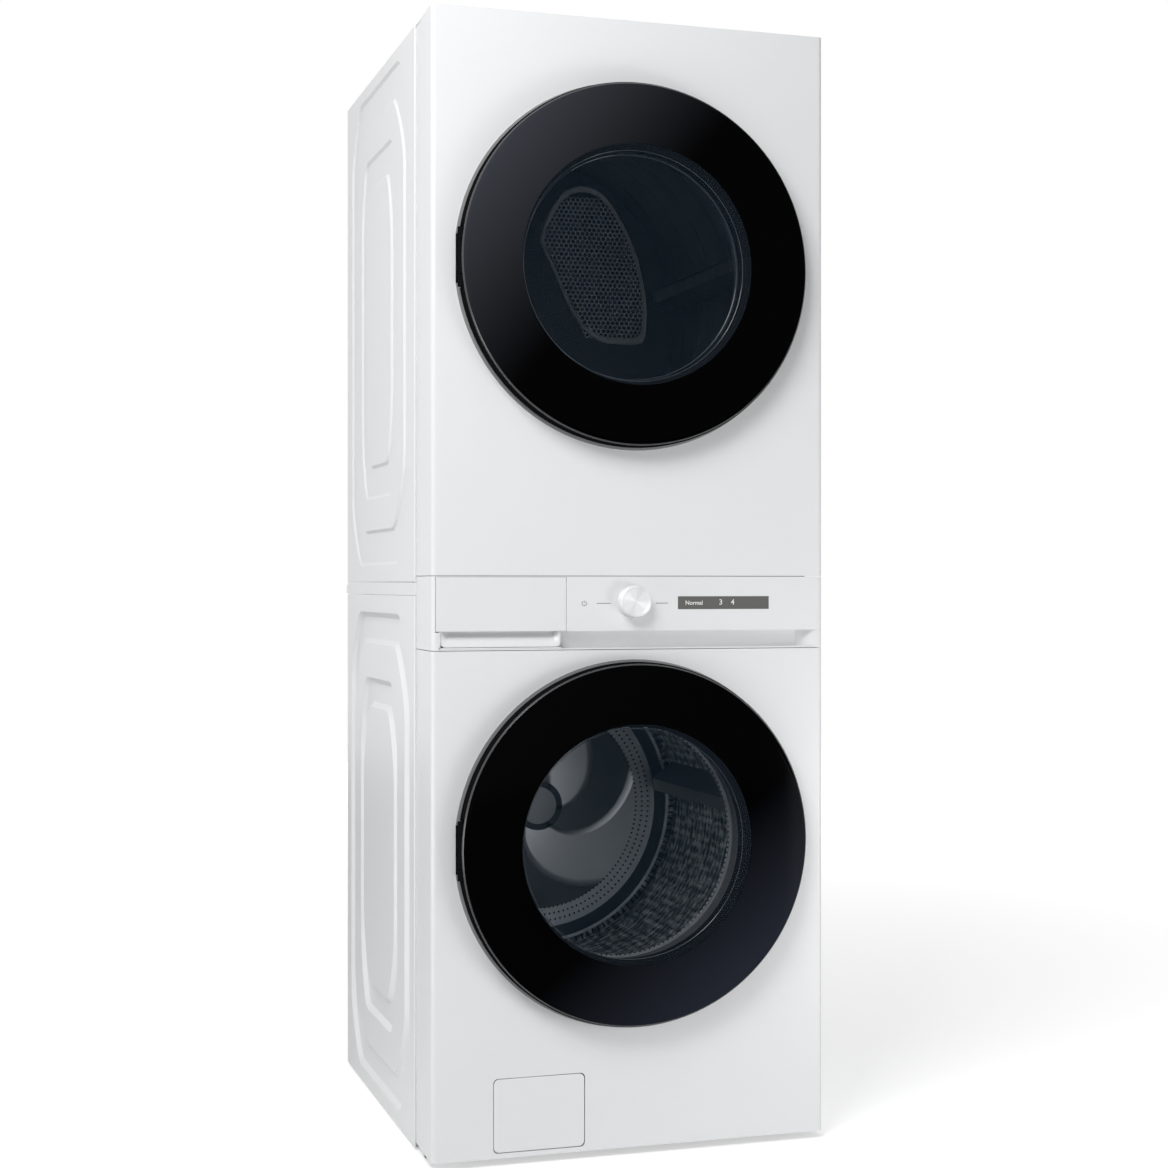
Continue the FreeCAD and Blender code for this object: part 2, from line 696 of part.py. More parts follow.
def filter_access():
    """The flap at the foot of the washer and the pump with its screw cap behind it."""
    body = new_body("filter_door")
    sketch = new_sketch(body, "flap_outline", "XZ_Plane", "-front_face - flap_thick")
    rectangle(sketch, ("flap_left", "flap_right"), ("flap_low", "flap_high"))
    panel = pad(body, sketch, "flap_thick")
    round_edges(body, "flap_corners", panel, "flap_corner - flap_gap",
                runs_back)
    round_edges(body, "flap_hinge_edge", body.Tip, "flap_round", lambda edge: (
        edge.Length > 50 and max(v.Z for v in edge.Vertexes) < SIZES["flap_low"] + 0.01))
    keep("filter_door", body)
    centre = ("pump_x", "pump_z")
    case = rod("pump_case", "y", "pump_radius", centre, "front_face + 22", "front_face + 130")
    motor = rod("pump_motor", "y", "pump_radius - 12", centre, "front_face + 129", "front_face + 190")
    foot = box("pump_foot", ("pump_x - 30", "pump_x + 30"), ("front_face + 40", "front_face + 120"),
               ("base_low + 2", "pump_z - 20"))
    outlet = rod("drain_outer", "y", "drain_radius - 1", ("drain_x", "drain_z"),
                 "front_face + 100", "spigot_front + 1")
    spigot = rod("drain_spigot", "y", "drain_radius", ("drain_x", "drain_z"),
                 "spigot_front", "exhaust_end")
    bridge = box("pump_bridge", ("drain_x - 4", "pump_x"), ("front_face + 102", "front_face + 120"),
                 ("drain_z - 8", "drain_z + 8"))
    chamber = rod("pump_chamber", "y", "pump_radius - 4", centre, "front_face + 21", "front_face + 80")
    bore = rod("drain_bore", "y", "drain_radius - 2.5", ("drain_x", "drain_z"),
               "front_face + 125", "exhaust_end + 1")
    pump = fuse("pump_body", [case, motor, foot, outlet, spigot, bridge])
    keep("drain_pump", cut("drain_pump", pump, [chamber, bore]))
    plug = rod("cap_plug", "y", "pump_radius - 5", centre, "front_face + 18", "front_face + 40")
    head = rod("cap_head", "y", "pump_radius - 2", centre, "front_face + 15", "front_face + 21")
    grip = box("cap_grip", ("pump_x - grip_half", "pump_x + grip_half"),
               ("front_face + 6", "front_face + 16"),
               ("pump_z - 5", "pump_z + 5"))
    keep("pump_filter_cap", fuse("pump_filter_cap", [plug, head, grip]))


def feet():
    """Four levelling feet, each a pad, a lock nut and a stud through the base pan."""
    for side, x in (("left", "-foot_x"), ("right", "foot_x")):
        for end, y in (("front", "foot_front"), ("rear", "foot_rear")):
            name = "foot_%s_%s" % (end, side)
            foot_pad = rod(name + "_pad", "z", "foot_radius", (x, y), "0", "12")
            nut = rod(name + "_nut", "z", "stud_radius + 5", (x, y), "11", "base_low")
            stud = rod(name + "_stud", "z", "stud_radius", (x, y), "12", "base_high")
            keep(name, fuse(name, [foot_pad, nut, stud]))


# ---------------------------------------------------------------- washer inside

def tub():
    """The tub on its dampers and springs, with its weight and the drive's stator."""
    shell = turned("tub_shell", [
        ("shaft_radius + running_gap", "tub_back - 15"), ("shaft_radius + running_gap", "tub_back + 22"),
        ("45", "tub_back + 22"), ("45", "tub_back"), ("tub_radius", "tub_back"), ("tub_radius", "tub_front"),
        ("drum_mouth + 5", "tub_front"), ("drum_mouth + 5", "tub_front + 6"),
        ("tub_radius - tub_wall", "tub_front + 6"), ("tub_radius - tub_wall", "tub_back - tub_wall"),
        ("45", "tub_back - tub_wall"), ("45", "tub_back - 15")], "washer_axis")
    parts = [shell]
    foot = "washer_axis - sqrt(tub_radius ^ 2 - damper_x ^ 2)"
    for side, sign in (("left", "-"), ("right", "")):
        parts.append(rod("damper_rod_" + side, "z", "rod_radius", (sign + "damper_x", "damper_y"),
                         "150", foot + " + 4"))
        x = ("-spring_x - 15", "-spring_x + 15") if sign else ("spring_x - 15", "spring_x + 15")
        parts.append(box("spring_lug_" + side, x, ("spring_y - 15", "spring_y + 15"),
                         ("spring_low - 27", "spring_low")))
    keep("washer_tub", fuse("washer_tub", parts))
    ring = pipe("weight_ring", "y", "tub_radius - 4", "port_radius + 15", ("0", "washer_axis"),
                "tub_front - 32", "tub_front")
    below = box("weight_cut", ("-tub_radius - 1", "tub_radius + 1"), ("tub_front - 40", "tub_front + 1"),
                ("washer_axis - tub_radius - 1", "washer_axis + 70"))
    keep("counterweight", cut("counterweight", ring, [below]))
    keep("motor_stator", pipe("motor_stator", "y", "125", "60", ("0", "washer_axis"),
                              "tub_back", "tub_back + 16"))
    gasket = turned("door_gasket", [
        ("drum_mouth + 3", "front_face + sheet"), ("port_radius - 0.5", "front_face + sheet"),
        ("port_radius - 0.5", "front_face + 15"), ("port_radius + 3", "front_face + 22"),
        ("port_radius + 3", "tub_front - 18"), ("port_radius - 2", "tub_front - 0.3"),
        ("drum_mouth + 3", "tub_front - 0.3"), ("drum_mouth + 8", "tub_front - 18"),
        ("drum_mouth + 8", "front_face + 22"), ("drum_mouth + 3", "front_face + 15")], "washer_axis")
    keep("door_gasket", gasket)


def washer_drum():
    """The washer's drum, its lifters, and the spider with the shaft and the rotor."""
    keep("washer_drum", turned("washer_drum", [
        ("drum_mouth", "drum_front"), ("drum_radius - 14", "drum_front"), ("drum_radius", "drum_front + 14"),
        ("drum_radius", "drum_back"), ("0", "drum_back"), ("0", "drum_back - drum_wall"),
        ("drum_radius - drum_wall", "drum_back - drum_wall"),
        ("drum_radius - drum_wall", "drum_front + 14.6"),
        ("drum_radius - 14.6", "drum_front + drum_wall"), ("drum_mouth", "drum_front + drum_wall")],
        "washer_axis"))
    keep("drum_lifters", lifters("lifter", SIZES["drum_radius"] - SIZES["drum_wall"] - 0.5,
                                 "washer_axis", "drum_front + 50", "drum_back - 30", 34, 50))
    hub = rod("spider_hub", "y", "50", ("0", "washer_axis"), "drum_back + 0.5", "drum_back + 8")
    shaft = rod("drum_shaft", "y", "shaft_radius", ("0", "washer_axis"), "drum_back + 1", "tub_back + 36")
    plate = rod("rotor_plate", "y", "140", ("0", "washer_axis"), "tub_back + 30", "tub_back + 34")
    rim = pipe("rotor_rim", "y", "140", "130", ("0", "washer_axis"), "tub_back + 4", "tub_back + 32")
    arms = [arm_bar("spider_arm_%d" % i, 120 * i + 30) for i in range(3)]
    keep("drum_spider", fuse("drum_spider", [hub, shaft, plate, rim] + arms))


def arm_bar(name, angle):
    """One radial arm of the spider, behind the drum."""
    arm = doc.addObject("Part::Box", name)
    turn = FreeCAD.Rotation(Vector(0, 1, 0), angle)
    arm.Placement = FreeCAD.Placement(turn.multVec(Vector(0, 0, -22)), turn)
    arm.setExpression("Length", expand("drum_radius - 16"))
    arm.Width = 6
    arm.Height = 44
    back = SIZES["drum_back"] + 1
    centre = turn.multVec(Vector(0, 0, -22)) + Vector(0, back, SIZES["washer_axis"])
    arm.Placement = FreeCAD.Placement(centre, turn)
    return arm


def paddle(name, half_base, rise, span, lift, inset):
    """A tapered paddle standing on a drum's wall, or with an inset the room inside it."""
    blade = doc.addObject("Part::Wedge", name)
    top = (half_base - inset) * 0.35
    blade.Xmin, blade.Xmax = inset - half_base, half_base - inset
    blade.X2min, blade.X2max = -top, top
    blade.Ymin, blade.Ymax = -lift, rise - inset
    blade.Zmin, blade.Z2min = inset, 12 + inset
    blade.setExpression("Zmax", expand("(%s) - %f" % (span, inset)))
    blade.setExpression("Z2max", expand("(%s) - 12 - %f" % (span, inset)))
    return blade


def lifters(name, radius, height, low, high, half_base, rise):
    """Three hollow tapered paddles inside a drum, evenly spaced round its axis."""
    blades = []
    chord = math.sqrt(radius ** 2 - half_base ** 2)
    span = "(%s) - (%s)" % (high, low)
    for i in range(3):
        outer = paddle("%s_skin_%d" % (name, i), half_base, rise, span, 0, 0)
        room = paddle("%s_room_%d" % (name, i), half_base, rise, span, 1, 2.5)
        blade = cut("%s_%d" % (name, i), outer, [room])
        lie = FreeCAD.Rotation(Vector(1, 0, 0), -90)
        spin = FreeCAD.Rotation(Vector(0, 1, 0), 120 * i + 20)
        turn = spin.multiply(FreeCAD.Rotation(Vector(0, 1, 0), 180).multiply(lie))
        foot = spin.multVec(Vector(0, 0, -chord))
        blade.Placement = FreeCAD.Placement(foot, turn)
        place(blade, "%f" % foot.x, low, "%s + %f" % (height, foot.z))
        blades.append(blade)
    return group(name + "_set", blades)


def coil(name, x):
    """One hanging spring of the tub, wound about an upright line."""
    helix = doc.addObject("Part::Helix", name + "_path")
    helix.setExpression("Height", expand("spring_high - spring_low - 6"))
    helix.Pitch = 14
    helix.Radius = 13
    place(helix, x, "spring_y", "spring_low + 3")
    wire = doc.addObject("Part::Circle", name + "_wire")
    wire.Radius = 2.5
    wire.Placement = FreeCAD.Placement(Vector(), FreeCAD.Rotation(Vector(1, 0, 0), 90))
    place(wire, x + " + 13", "spring_y", "spring_low + 3")
    sweep = doc.addObject("Part::Sweep", name)
    sweep.Sections = [wire]
    sweep.Spine = (helix, [])
    sweep.Solid = True
    sweep.Frenet = True
    return sweep


def suspension():
    """Hanging springs and the cylinders of the friction dampers."""
    keep("tub_springs", group("tub_springs", [coil("spring_left", "-spring_x"),
                                              coil("spring_right", "spring_x")]))
    cylinders = []
    for side, x in (("left", "-damper_x"), ("right", "damper_x")):
        case = rod("damper_case_" + side, "z", "damper_radius", (x, "damper_y"), "base_low + 2", "190")
        bore = rod("damper_bore_" + side, "z", "rod_radius + running_gap", (x, "damper_y"), "100", "191")
        cylinders.append(cut("damper_" + side, case, [bore]))
    keep("damper_cylinders", group("damper_cylinders", cylinders))
    valves = box("valve_block", ("valve_x - 25", "valve_x + valve_pitch + 25"),
                 ("cabinet_back - 45", "cabinet_back - 3"), ("valve_z - 22", "valve_z + 22"))
    stubs = [pipe("valve_stub_%d" % i, "y", "valve_radius", "valve_radius - 3",
                  ("valve_x + %d * valve_pitch" % i, "valve_z"), "cabinet_back - 4", "valve_end")
             for i in range(2)]
    keep("inlet_valves", fuse("inlet_valves", [valves] + stubs))


# ---------------------------------------------------------------- dryer inside

def tumbler():
    """The dryer's drum with its baffles joined inside."""
    shell = turned("tumbler_shell", [
        ("tumbler_mouth", "tumbler_front"), ("tumbler_radius - 14", "tumbler_front"),
        ("tumbler_radius", "tumbler_front + 14"), ("tumbler_radius", "tumbler_back"),
        ("tumbler_radius - drum_wall", "tumbler_back"),
        ("tumbler_radius - drum_wall", "tumbler_front + 14.6"),
        ("tumbler_radius - 14.6", "tumbler_front + drum_wall"),
        ("tumbler_mouth", "tumbler_front + drum_wall")], "dryer_axis")
    blades = lifters("baffle", SIZES["tumbler_radius"] - 0.4, "dryer_axis",
                     "tumbler_front + 60", "tumbler_back - 40", 30, 62)
    keep("dryer_drum", fuse("dryer_drum", [shell, blades]))


def hex_grille(name, outline, height, pitch, radius, low, high):
    """Round holes on a honeycomb grid, inside an outline of X and Z from the drum's axis."""
    face = Part.Face(Part.makePolygon([Vector(x, 0, z) for x, z in outline + outline[:1]]))
    row_pitch = pitch * math.sqrt(3) / 2
    rows, columns = int(GRILLE_REACH / row_pitch), int(GRILLE_REACH / pitch)
    holes = []
    for row in range(-rows, rows + 1):
        for column in range(-columns, columns + 1):
            x, z = (column + 0.5 * (row % 2)) * pitch, row * row_pitch
            if face.isInside(Vector(x, 0, z), 0.01, True):
                holes.append(Part.makeCylinder(radius, high - low, Vector(x, low, height + z),
                                               Vector(0, 1, 0)))
    item = doc.addObject("Part::Feature", name)
    item.Shape = Part.makeCompound(holes)
    return item


def roller_spot(sign):
    """Where a roller's axle stands under the drum."""
    reach = "(tumbler_radius + roller_radius + contact_gap)"
    return ("%s%s * sin(roller_angle * 1deg)" % (sign, reach),
            "dryer_axis - %s * cos(roller_angle * 1deg)" % reach)


def bulkheads():
    """The fixed walls before and behind the dryer's drum, with the lint duct and the hot air grille."""
    inside = "half_width - sheet - dryer_press - 2.5"
    across = ("-(%s)" % inside, inside)
    tall = ("deck_high", "overall_height - 6")
    plate = box("front_wall", across, ("bulkhead_front", "bulkhead_front + bulkhead_sheet"), tall)
    mouth = rod("front_mouth", "y", "port_radius - 5", ("0", "dryer_axis"),
                "collar_back - 1", "bulkhead_front + 10")
    collar = rod("front_collar", "y", "port_radius - 2", ("0", "dryer_axis"),
                 "front_face + 22", "bulkhead_front + bulkhead_sheet")
    chute = box("chute", ("-filter_half - 8", "filter_half + 8"), ("filter_front - 6", "bulkhead_front + 1"),
                ("filter_low - 6", "dryer_axis - port_radius + 4"))
    elbow = box("elbow", ("motor_x - 65", "filter_half + 8"), ("filter_front - 6", "scroll_front"),
                ("motor_z - 60", "filter_low - 3"))
    slot = box("chute_room", ("-filter_half - 3", "filter_half + 3"), ("filter_front - 3", "filter_back + 3"),
               ("filter_low - 14", "dryer_axis - port_radius + 34"))
    room = box("elbow_room", ("motor_x - 63", "filter_half + 6"), ("filter_front - 4", "scroll_front - 2"),
               ("motor_z - 58", "filter_low - 5"))
    inlet = rod("elbow_outlet", "y", "55", ("motor_x", "motor_z"), "scroll_front - 3", "scroll_front + 1")
    keep("front_bulkhead", cut("front_bulkhead", fuse("front_air_wall", [plate, collar, chute, elbow]),
                               [mouth, slot, room, inlet]))
    wall = box("rear_wall", across, ("bulkhead_rear", "bulkhead_rear + bulkhead_sheet"), tall)
    axles = []
    for side, sign in (("left", "-"), ("right", "")):
        axles.append(rod("roller_axle_" + side, "y", "axle_radius", roller_spot(sign),
                         "roller_front - 4", "bulkhead_rear + 1"))
    hole = rod("duct_pass", "y", "exhaust_radius + 0.5", ("exhaust_x", "exhaust_z"),
               "bulkhead_rear - 1", "bulkhead_rear + 4")
    grille = hex_grille("grille", GRILLE_OUTLINE, SIZES["dryer_axis"], SIZES["grille_pitch"],
                        SIZES["grille_hole"], SIZES["bulkhead_rear"] - 1, SIZES["bulkhead_rear"] + 4)
    pierced = cut("pierced_wall", wall, [hole])
    holed = cut("grille_wall", pierced, [grille])
    keep("rear_bulkhead", fuse("rear_bulkhead", [holed] + axles))
    for side, sign in (("left", "-"), ("right", "")):
        keep("drum_roller_" + side, pipe("drum_roller_" + side, "y", "roller_radius",
                                         "axle_radius + running_gap", roller_spot(sign),
                                         "roller_front", "roller_back"))


def air_path():
    """The blower's scroll and exhaust duct, the heater duct and the lint filter."""
    room = "duct_wall"
    scroll = rod("scroll_case", "y", "scroll_radius", ("motor_x", "motor_z"),
                 "scroll_front", "scroll_back")
    throat = box("throat", ("motor_x", "exhaust_x + exhaust_radius + 2"), ("scroll_front", "scroll_back"),
                 ("motor_z - scroll_radius", "exhaust_z + exhaust_radius"))
    tube = rod("exhaust_tube", "y", "exhaust_radius - 1", ("exhaust_x", "exhaust_z"),
               "scroll_back - 1", "spigot_front + 1")
    collar = rod("exhaust_collar", "y", "exhaust_radius", ("exhaust_x", "exhaust_z"),
                 "spigot_front", "exhaust_end")
    body = fuse("blower_body", [scroll, throat, tube, collar])
    tools = [
        rod("scroll_room", "y", "scroll_radius - " + room, ("motor_x", "motor_z"),
            "scroll_front + " + room, "scroll_back - " + room),
        box("throat_room", ("motor_x", "exhaust_x + exhaust_radius"),
            ("scroll_front + " + room, "scroll_back - " + room),
            ("motor_z - scroll_radius + " + room, "exhaust_z + exhaust_radius - " + room)),
        rod("exhaust_bore", "y", "exhaust_radius - 2", ("exhaust_x", "exhaust_z"),
            "scroll_back - 6", "exhaust_end + 1"),
        rod("scroll_eye", "y", "55", ("motor_x", "motor_z"), "scroll_front - 1", "scroll_front + 4"),
        rod("scroll_shaft_hole", "y", "rotor_shaft + 4", ("motor_x", "motor_z"),
            "scroll_back - 4", "scroll_back + 1"),
    ]
    keep("exhaust_duct", cut("exhaust_duct", body, tools))
    shell = box("heater_block", ("heater_left", "heater_right"),
                ("bulkhead_rear + bulkhead_sheet", "cabinet_back - 10"), ("heater_low", "heater_high"))
    hollow = box("heater_room", ("heater_left + duct_wall", "heater_right - duct_wall"),
                 ("bulkhead_rear", "cabinet_back - 10 - duct_wall"),
                 ("heater_low + duct_wall", "heater_high - duct_wall"))
    keep("heater_duct", cut("heater_duct", shell, [hollow]))
    frame = box("lint_block", ("-filter_half", "filter_half"), ("filter_front", "filter_back"),
                ("filter_low", "filter_high"))
    screen = box("lint_recess", ("-filter_half + 8", "filter_half - 8"),
                 ("filter_front + 2", "filter_back - 2"), ("filter_low + 8", "filter_high - 6"))
    keep("lint_filter", cut("lint_filter", frame, [screen]))
    keep("terminal_cover", terminal_cover())


def terminal_cover():
    """The cover over the mains terminals, with the hole that a cord's clamp fits."""
    shell = box("cover_block", ("cover_left", "cover_right"), ("cabinet_back", "rear_limit - 1"),
                ("cover_low", "cover_high"))
    hollow = box("cover_room", ("cover_left + 2", "cover_right - 2"), ("cabinet_back - 1", "rear_limit - 3"),
                 ("cover_low + 2", "cover_high - 2"))
    hole = rod("cover_hole_bore", "y", "cover_hole", ("cover_left + 24", "cover_low + 24"),
               "cabinet_back + 4", "rear_limit + 1")
    return cut("terminal_cover", shell, [hollow, hole])


def loop_face(circles, growth, y):
    """The face inside a tight loop round circles that are given anticlockwise, each grown by a growth."""
    count = len(circles)
    normals = []
    for i in range(count):
        (x1, z1, r1), (x2, z2, r2) = circles[i], circles[(i + 1) % count]
        reach = math.hypot(x2 - x1, z2 - z1)
        along, lean = ((x2 - x1) / reach, (z2 - z1) / reach), (r1 - r2) / reach
        side = math.sqrt(1 - lean ** 2)
        normals.append((lean * along[0] + side * along[1], lean * along[1] - side * along[0]))
    edges = []
    for i in range(count):
        x, z, radius = circles[i]
        radius += growth
        begin = math.atan2(normals[i - 1][1], normals[i - 1][0])
        sweep = (math.atan2(normals[i][1], normals[i][0]) - begin) % (2 * math.pi)
        arc = [Vector(x + radius * math.cos(begin + sweep * part), y,
                      z + radius * math.sin(begin + sweep * part)) for part in (0, 0.5, 1)]
        following = circles[(i + 1) % count]
        touch = Vector(following[0] + (following[2] + growth) * normals[i][0], y,
                       following[1] + (following[2] + growth) * normals[i][1])
        edges.append(Part.Arc(*arc).toShape())
        edges.append(Part.LineSegment(arc[2], touch).toShape())
    return Part.Face(Part.Wire(edges))


def drive():
    """The motor, its shaft with the belt pulley and blower wheel, the idler and the belt."""
    centre = ("motor_x", "motor_z")
    case = rod("motor_case", "y", "motor_radius", centre, "motor_front", "motor_back")
    foot = box("motor_foot", ("motor_x - 50", "motor_x + 50"), ("motor_front + 15", "motor_back - 15"),
               ("deck_high - seam", "motor_z - 40"))
    bore = rod("motor_bore", "y", "rotor_shaft + running_gap", centre, "motor_front - 1", "motor_back + 1")
    keep("dryer_motor", cut("dryer_motor", fuse("motor_body", [case, foot]), [bore]))
    shaft = rod("rotor_bar", "y", "rotor_shaft", centre, "scroll_front + 14", "pulley_back")
    sheave = rod("sheave", "y", "pulley_radius", centre, "pulley_front", "pulley_back")
    lips = [rod("sheave_lip_%d" % i, "y", "pulley_radius + 4", centre, low, low + " + 2")
            for i, low in enumerate(("pulley_front", "pulley_back - 2"))]
    wheel = rod("blower_disc", "y", "scroll_radius - 20", centre, "scroll_back - 16", "scroll_back - 12")
    vanes = pipe("blower_vanes", "y", "scroll_radius - 20", "scroll_radius - 34", centre,
                 "scroll_front + 14", "scroll_back - 14")
    keep("motor_shaft", fuse("motor_shaft", [shaft, sheave, wheel, vanes] + lips))
    place_idler = ("idler_x", "idler_z")
    arm = box("idler_bracket", ("idler_x - 8", "idler_x + 8"), ("-14", "-6"),
              ("deck_high - seam", "idler_z + 8"))
    stud = rod("idler_stud", "y", "5", place_idler, "-8", "pulley_back + 2")
    keep("idler_arm", fuse("idler_arm", [arm, stud]))
    keep("idler_pulley", pipe("idler_pulley", "y", "idler_radius", "5 + running_gap", place_idler,
                              "pulley_front", "pulley_back"))
    gap, thick = SIZES["contact_gap"], SIZES["belt_thick"]
    circles = [(0.0, SIZES["dryer_axis"], SIZES["tumbler_radius"]),
               (SIZES["idler_x"], SIZES["idler_z"], SIZES["idler_radius"]),
               (SIZES["motor_x"], SIZES["motor_z"], SIZES["pulley_radius"])]
    width = Vector(0, SIZES["belt_back"] - SIZES["belt_front"], 0)
    outer = loop_face(circles, gap + thick, SIZES["belt_front"]).extrude(width)
    inner = loop_face(circles, gap, SIZES["belt_front"]).extrude(width)
    belt = doc.addObject("Part::Feature", "drive_belt")
    belt.Shape = outer.cut(inner)
    belt.Placement = FreeCAD.Placement()
    keep("drive_belt", belt)


# ---------------------------------------------------------------- build and write

def check_document():
    """Recompute, then refuse any failed object or bad shape."""
    doc.recompute()
    failed = [item.Name for item in doc.Objects if {"Invalid", "Error"} & set(item.State)]
    if failed:
        raise RuntimeError("failed objects: " + ", ".join(failed))
    for item in nodes:
        if item.Shape.isNull() or not item.Shape.isValid() or item.Shape.Volume <= 0:
            raise RuntimeError("bad shape: " + item.Label)


def write_parts():
    """Write each sub-part to its own STEP file."""
    os.makedirs("parts", exist_ok=True)
    for item in nodes:
        item.Shape.exportStep("parts/%s.step" % item.Label)
        print(item.Label, len(item.Shape.Solids), "solids", round(item.Shape.Volume / 1000), "cm3")


washer_front()
dryer_front()
console()
shells()
base_and_deck()
screws()
door("washer", "washer_axis", [
    ("window_radius - 0.5", "glass_back + 16"), ("window_radius - 0.5", "collar_back + 5"),
    ("176", "-290"), ("150", "-262"), ("0", "-250"), ("0", "-254"), ("148", "-266"), ("172", "-293"),
    ("window_radius - 4.5", "collar_back + 4"), ("window_radius - 4.5", "glass_back + 16")], "door_bowl")
door("dryer", "dryer_axis", [
    ("window_radius - 0.5", "glass_back + 16"), ("window_radius - 0.5", "collar_back + 5"),
    ("180", "-338"), ("0", "-334"), ("0", "-338"), ("178", "-342"),
    ("window_radius - 4.5", "collar_back + 1"), ("window_radius - 4.5", "glass_back + 16")],
    "door_window")
door_fittings()
drawer()
knob()
filter_access()
feet()
tub()
washer_drum()
suspension()
tumbler()
bulkheads()
air_path()
drive()
check_document()
write_parts()
print(len(nodes), "sub-parts")
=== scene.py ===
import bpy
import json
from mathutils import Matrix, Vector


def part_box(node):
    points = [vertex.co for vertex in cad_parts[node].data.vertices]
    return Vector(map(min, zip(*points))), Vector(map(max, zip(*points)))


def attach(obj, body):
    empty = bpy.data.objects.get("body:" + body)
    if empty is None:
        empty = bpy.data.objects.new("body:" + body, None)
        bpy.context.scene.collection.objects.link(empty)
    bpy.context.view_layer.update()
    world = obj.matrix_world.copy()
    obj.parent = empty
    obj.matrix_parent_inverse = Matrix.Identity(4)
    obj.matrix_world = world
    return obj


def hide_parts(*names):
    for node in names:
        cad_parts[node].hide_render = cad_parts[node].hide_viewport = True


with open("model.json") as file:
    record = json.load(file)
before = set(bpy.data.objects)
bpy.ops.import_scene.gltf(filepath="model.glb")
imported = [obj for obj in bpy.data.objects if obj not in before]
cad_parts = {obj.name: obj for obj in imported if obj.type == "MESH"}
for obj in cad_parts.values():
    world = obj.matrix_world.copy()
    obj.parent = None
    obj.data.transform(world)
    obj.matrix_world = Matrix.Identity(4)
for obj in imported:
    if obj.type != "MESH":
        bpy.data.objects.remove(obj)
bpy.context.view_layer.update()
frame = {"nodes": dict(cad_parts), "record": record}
SLOTS = {part["node"]: part["material_slot"] for part in frame["record"]["subparts"]}

import json
import logging
import math
from dataclasses import dataclass, field
from enum import Enum
from functools import lru_cache
from typing import Callable, Sequence

import bpy
from mathutils import Vector

log = logging.getLogger("stack")
Point = tuple[float, float, float]
Colour = tuple[float, float, float]

WASHER_AXIS = 0.5195  # height of each drum's level axis in metres
DRYER_AXIS = 1.479
WINDOW_TINT = (0.050, 0.088, 0.130)


# ------------------------------------------------------------------ shader maths

class Value:
    """A shader socket that Python operators turn into Math nodes."""

    def __init__(self, graph: "Graph", socket: bpy.types.NodeSocket) -> None:
        """Wrap a socket of a graph."""
        self.graph = graph
        self.socket = socket

    def maths(self, operation: str, *others: object, first: bool = True) -> "Value":
        """Add one Math node.

        Args:
            operation: The Math node's operation.
            others: The other inputs, as numbers or values.
            first: Whether this value is the node's first input.

        Returns:
            The node's result.
        """
        inputs = [self, *others] if first else [*others, self]
        return self.graph.node("ShaderNodeMath", {"operation": operation}, dict(enumerate(inputs)))

    def __add__(self, other: object) -> "Value":
        """Add."""
        return self.maths("ADD", other)

    def __sub__(self, other: object) -> "Value":
        """Subtract."""
        return self.maths("SUBTRACT", other)

    def __rsub__(self, other: object) -> "Value":
        """Subtract from a number."""
        return self.maths("SUBTRACT", other, first=False)

    def __mul__(self, other: object) -> "Value":
        """Multiply."""
        return self.maths("MULTIPLY", other)

    def __pow__(self, other: object) -> "Value":
        """Raise to a power."""
        return self.maths("POWER", other)

    def __gt__(self, other: object) -> "Value":
        """One where this value is greater."""
        return self.maths("GREATER_THAN", other)

    def __lt__(self, other: object) -> "Value":
        """One where this value is smaller."""
        return self.maths("LESS_THAN", other)

    __radd__ = __add__
    __rmul__ = __mul__


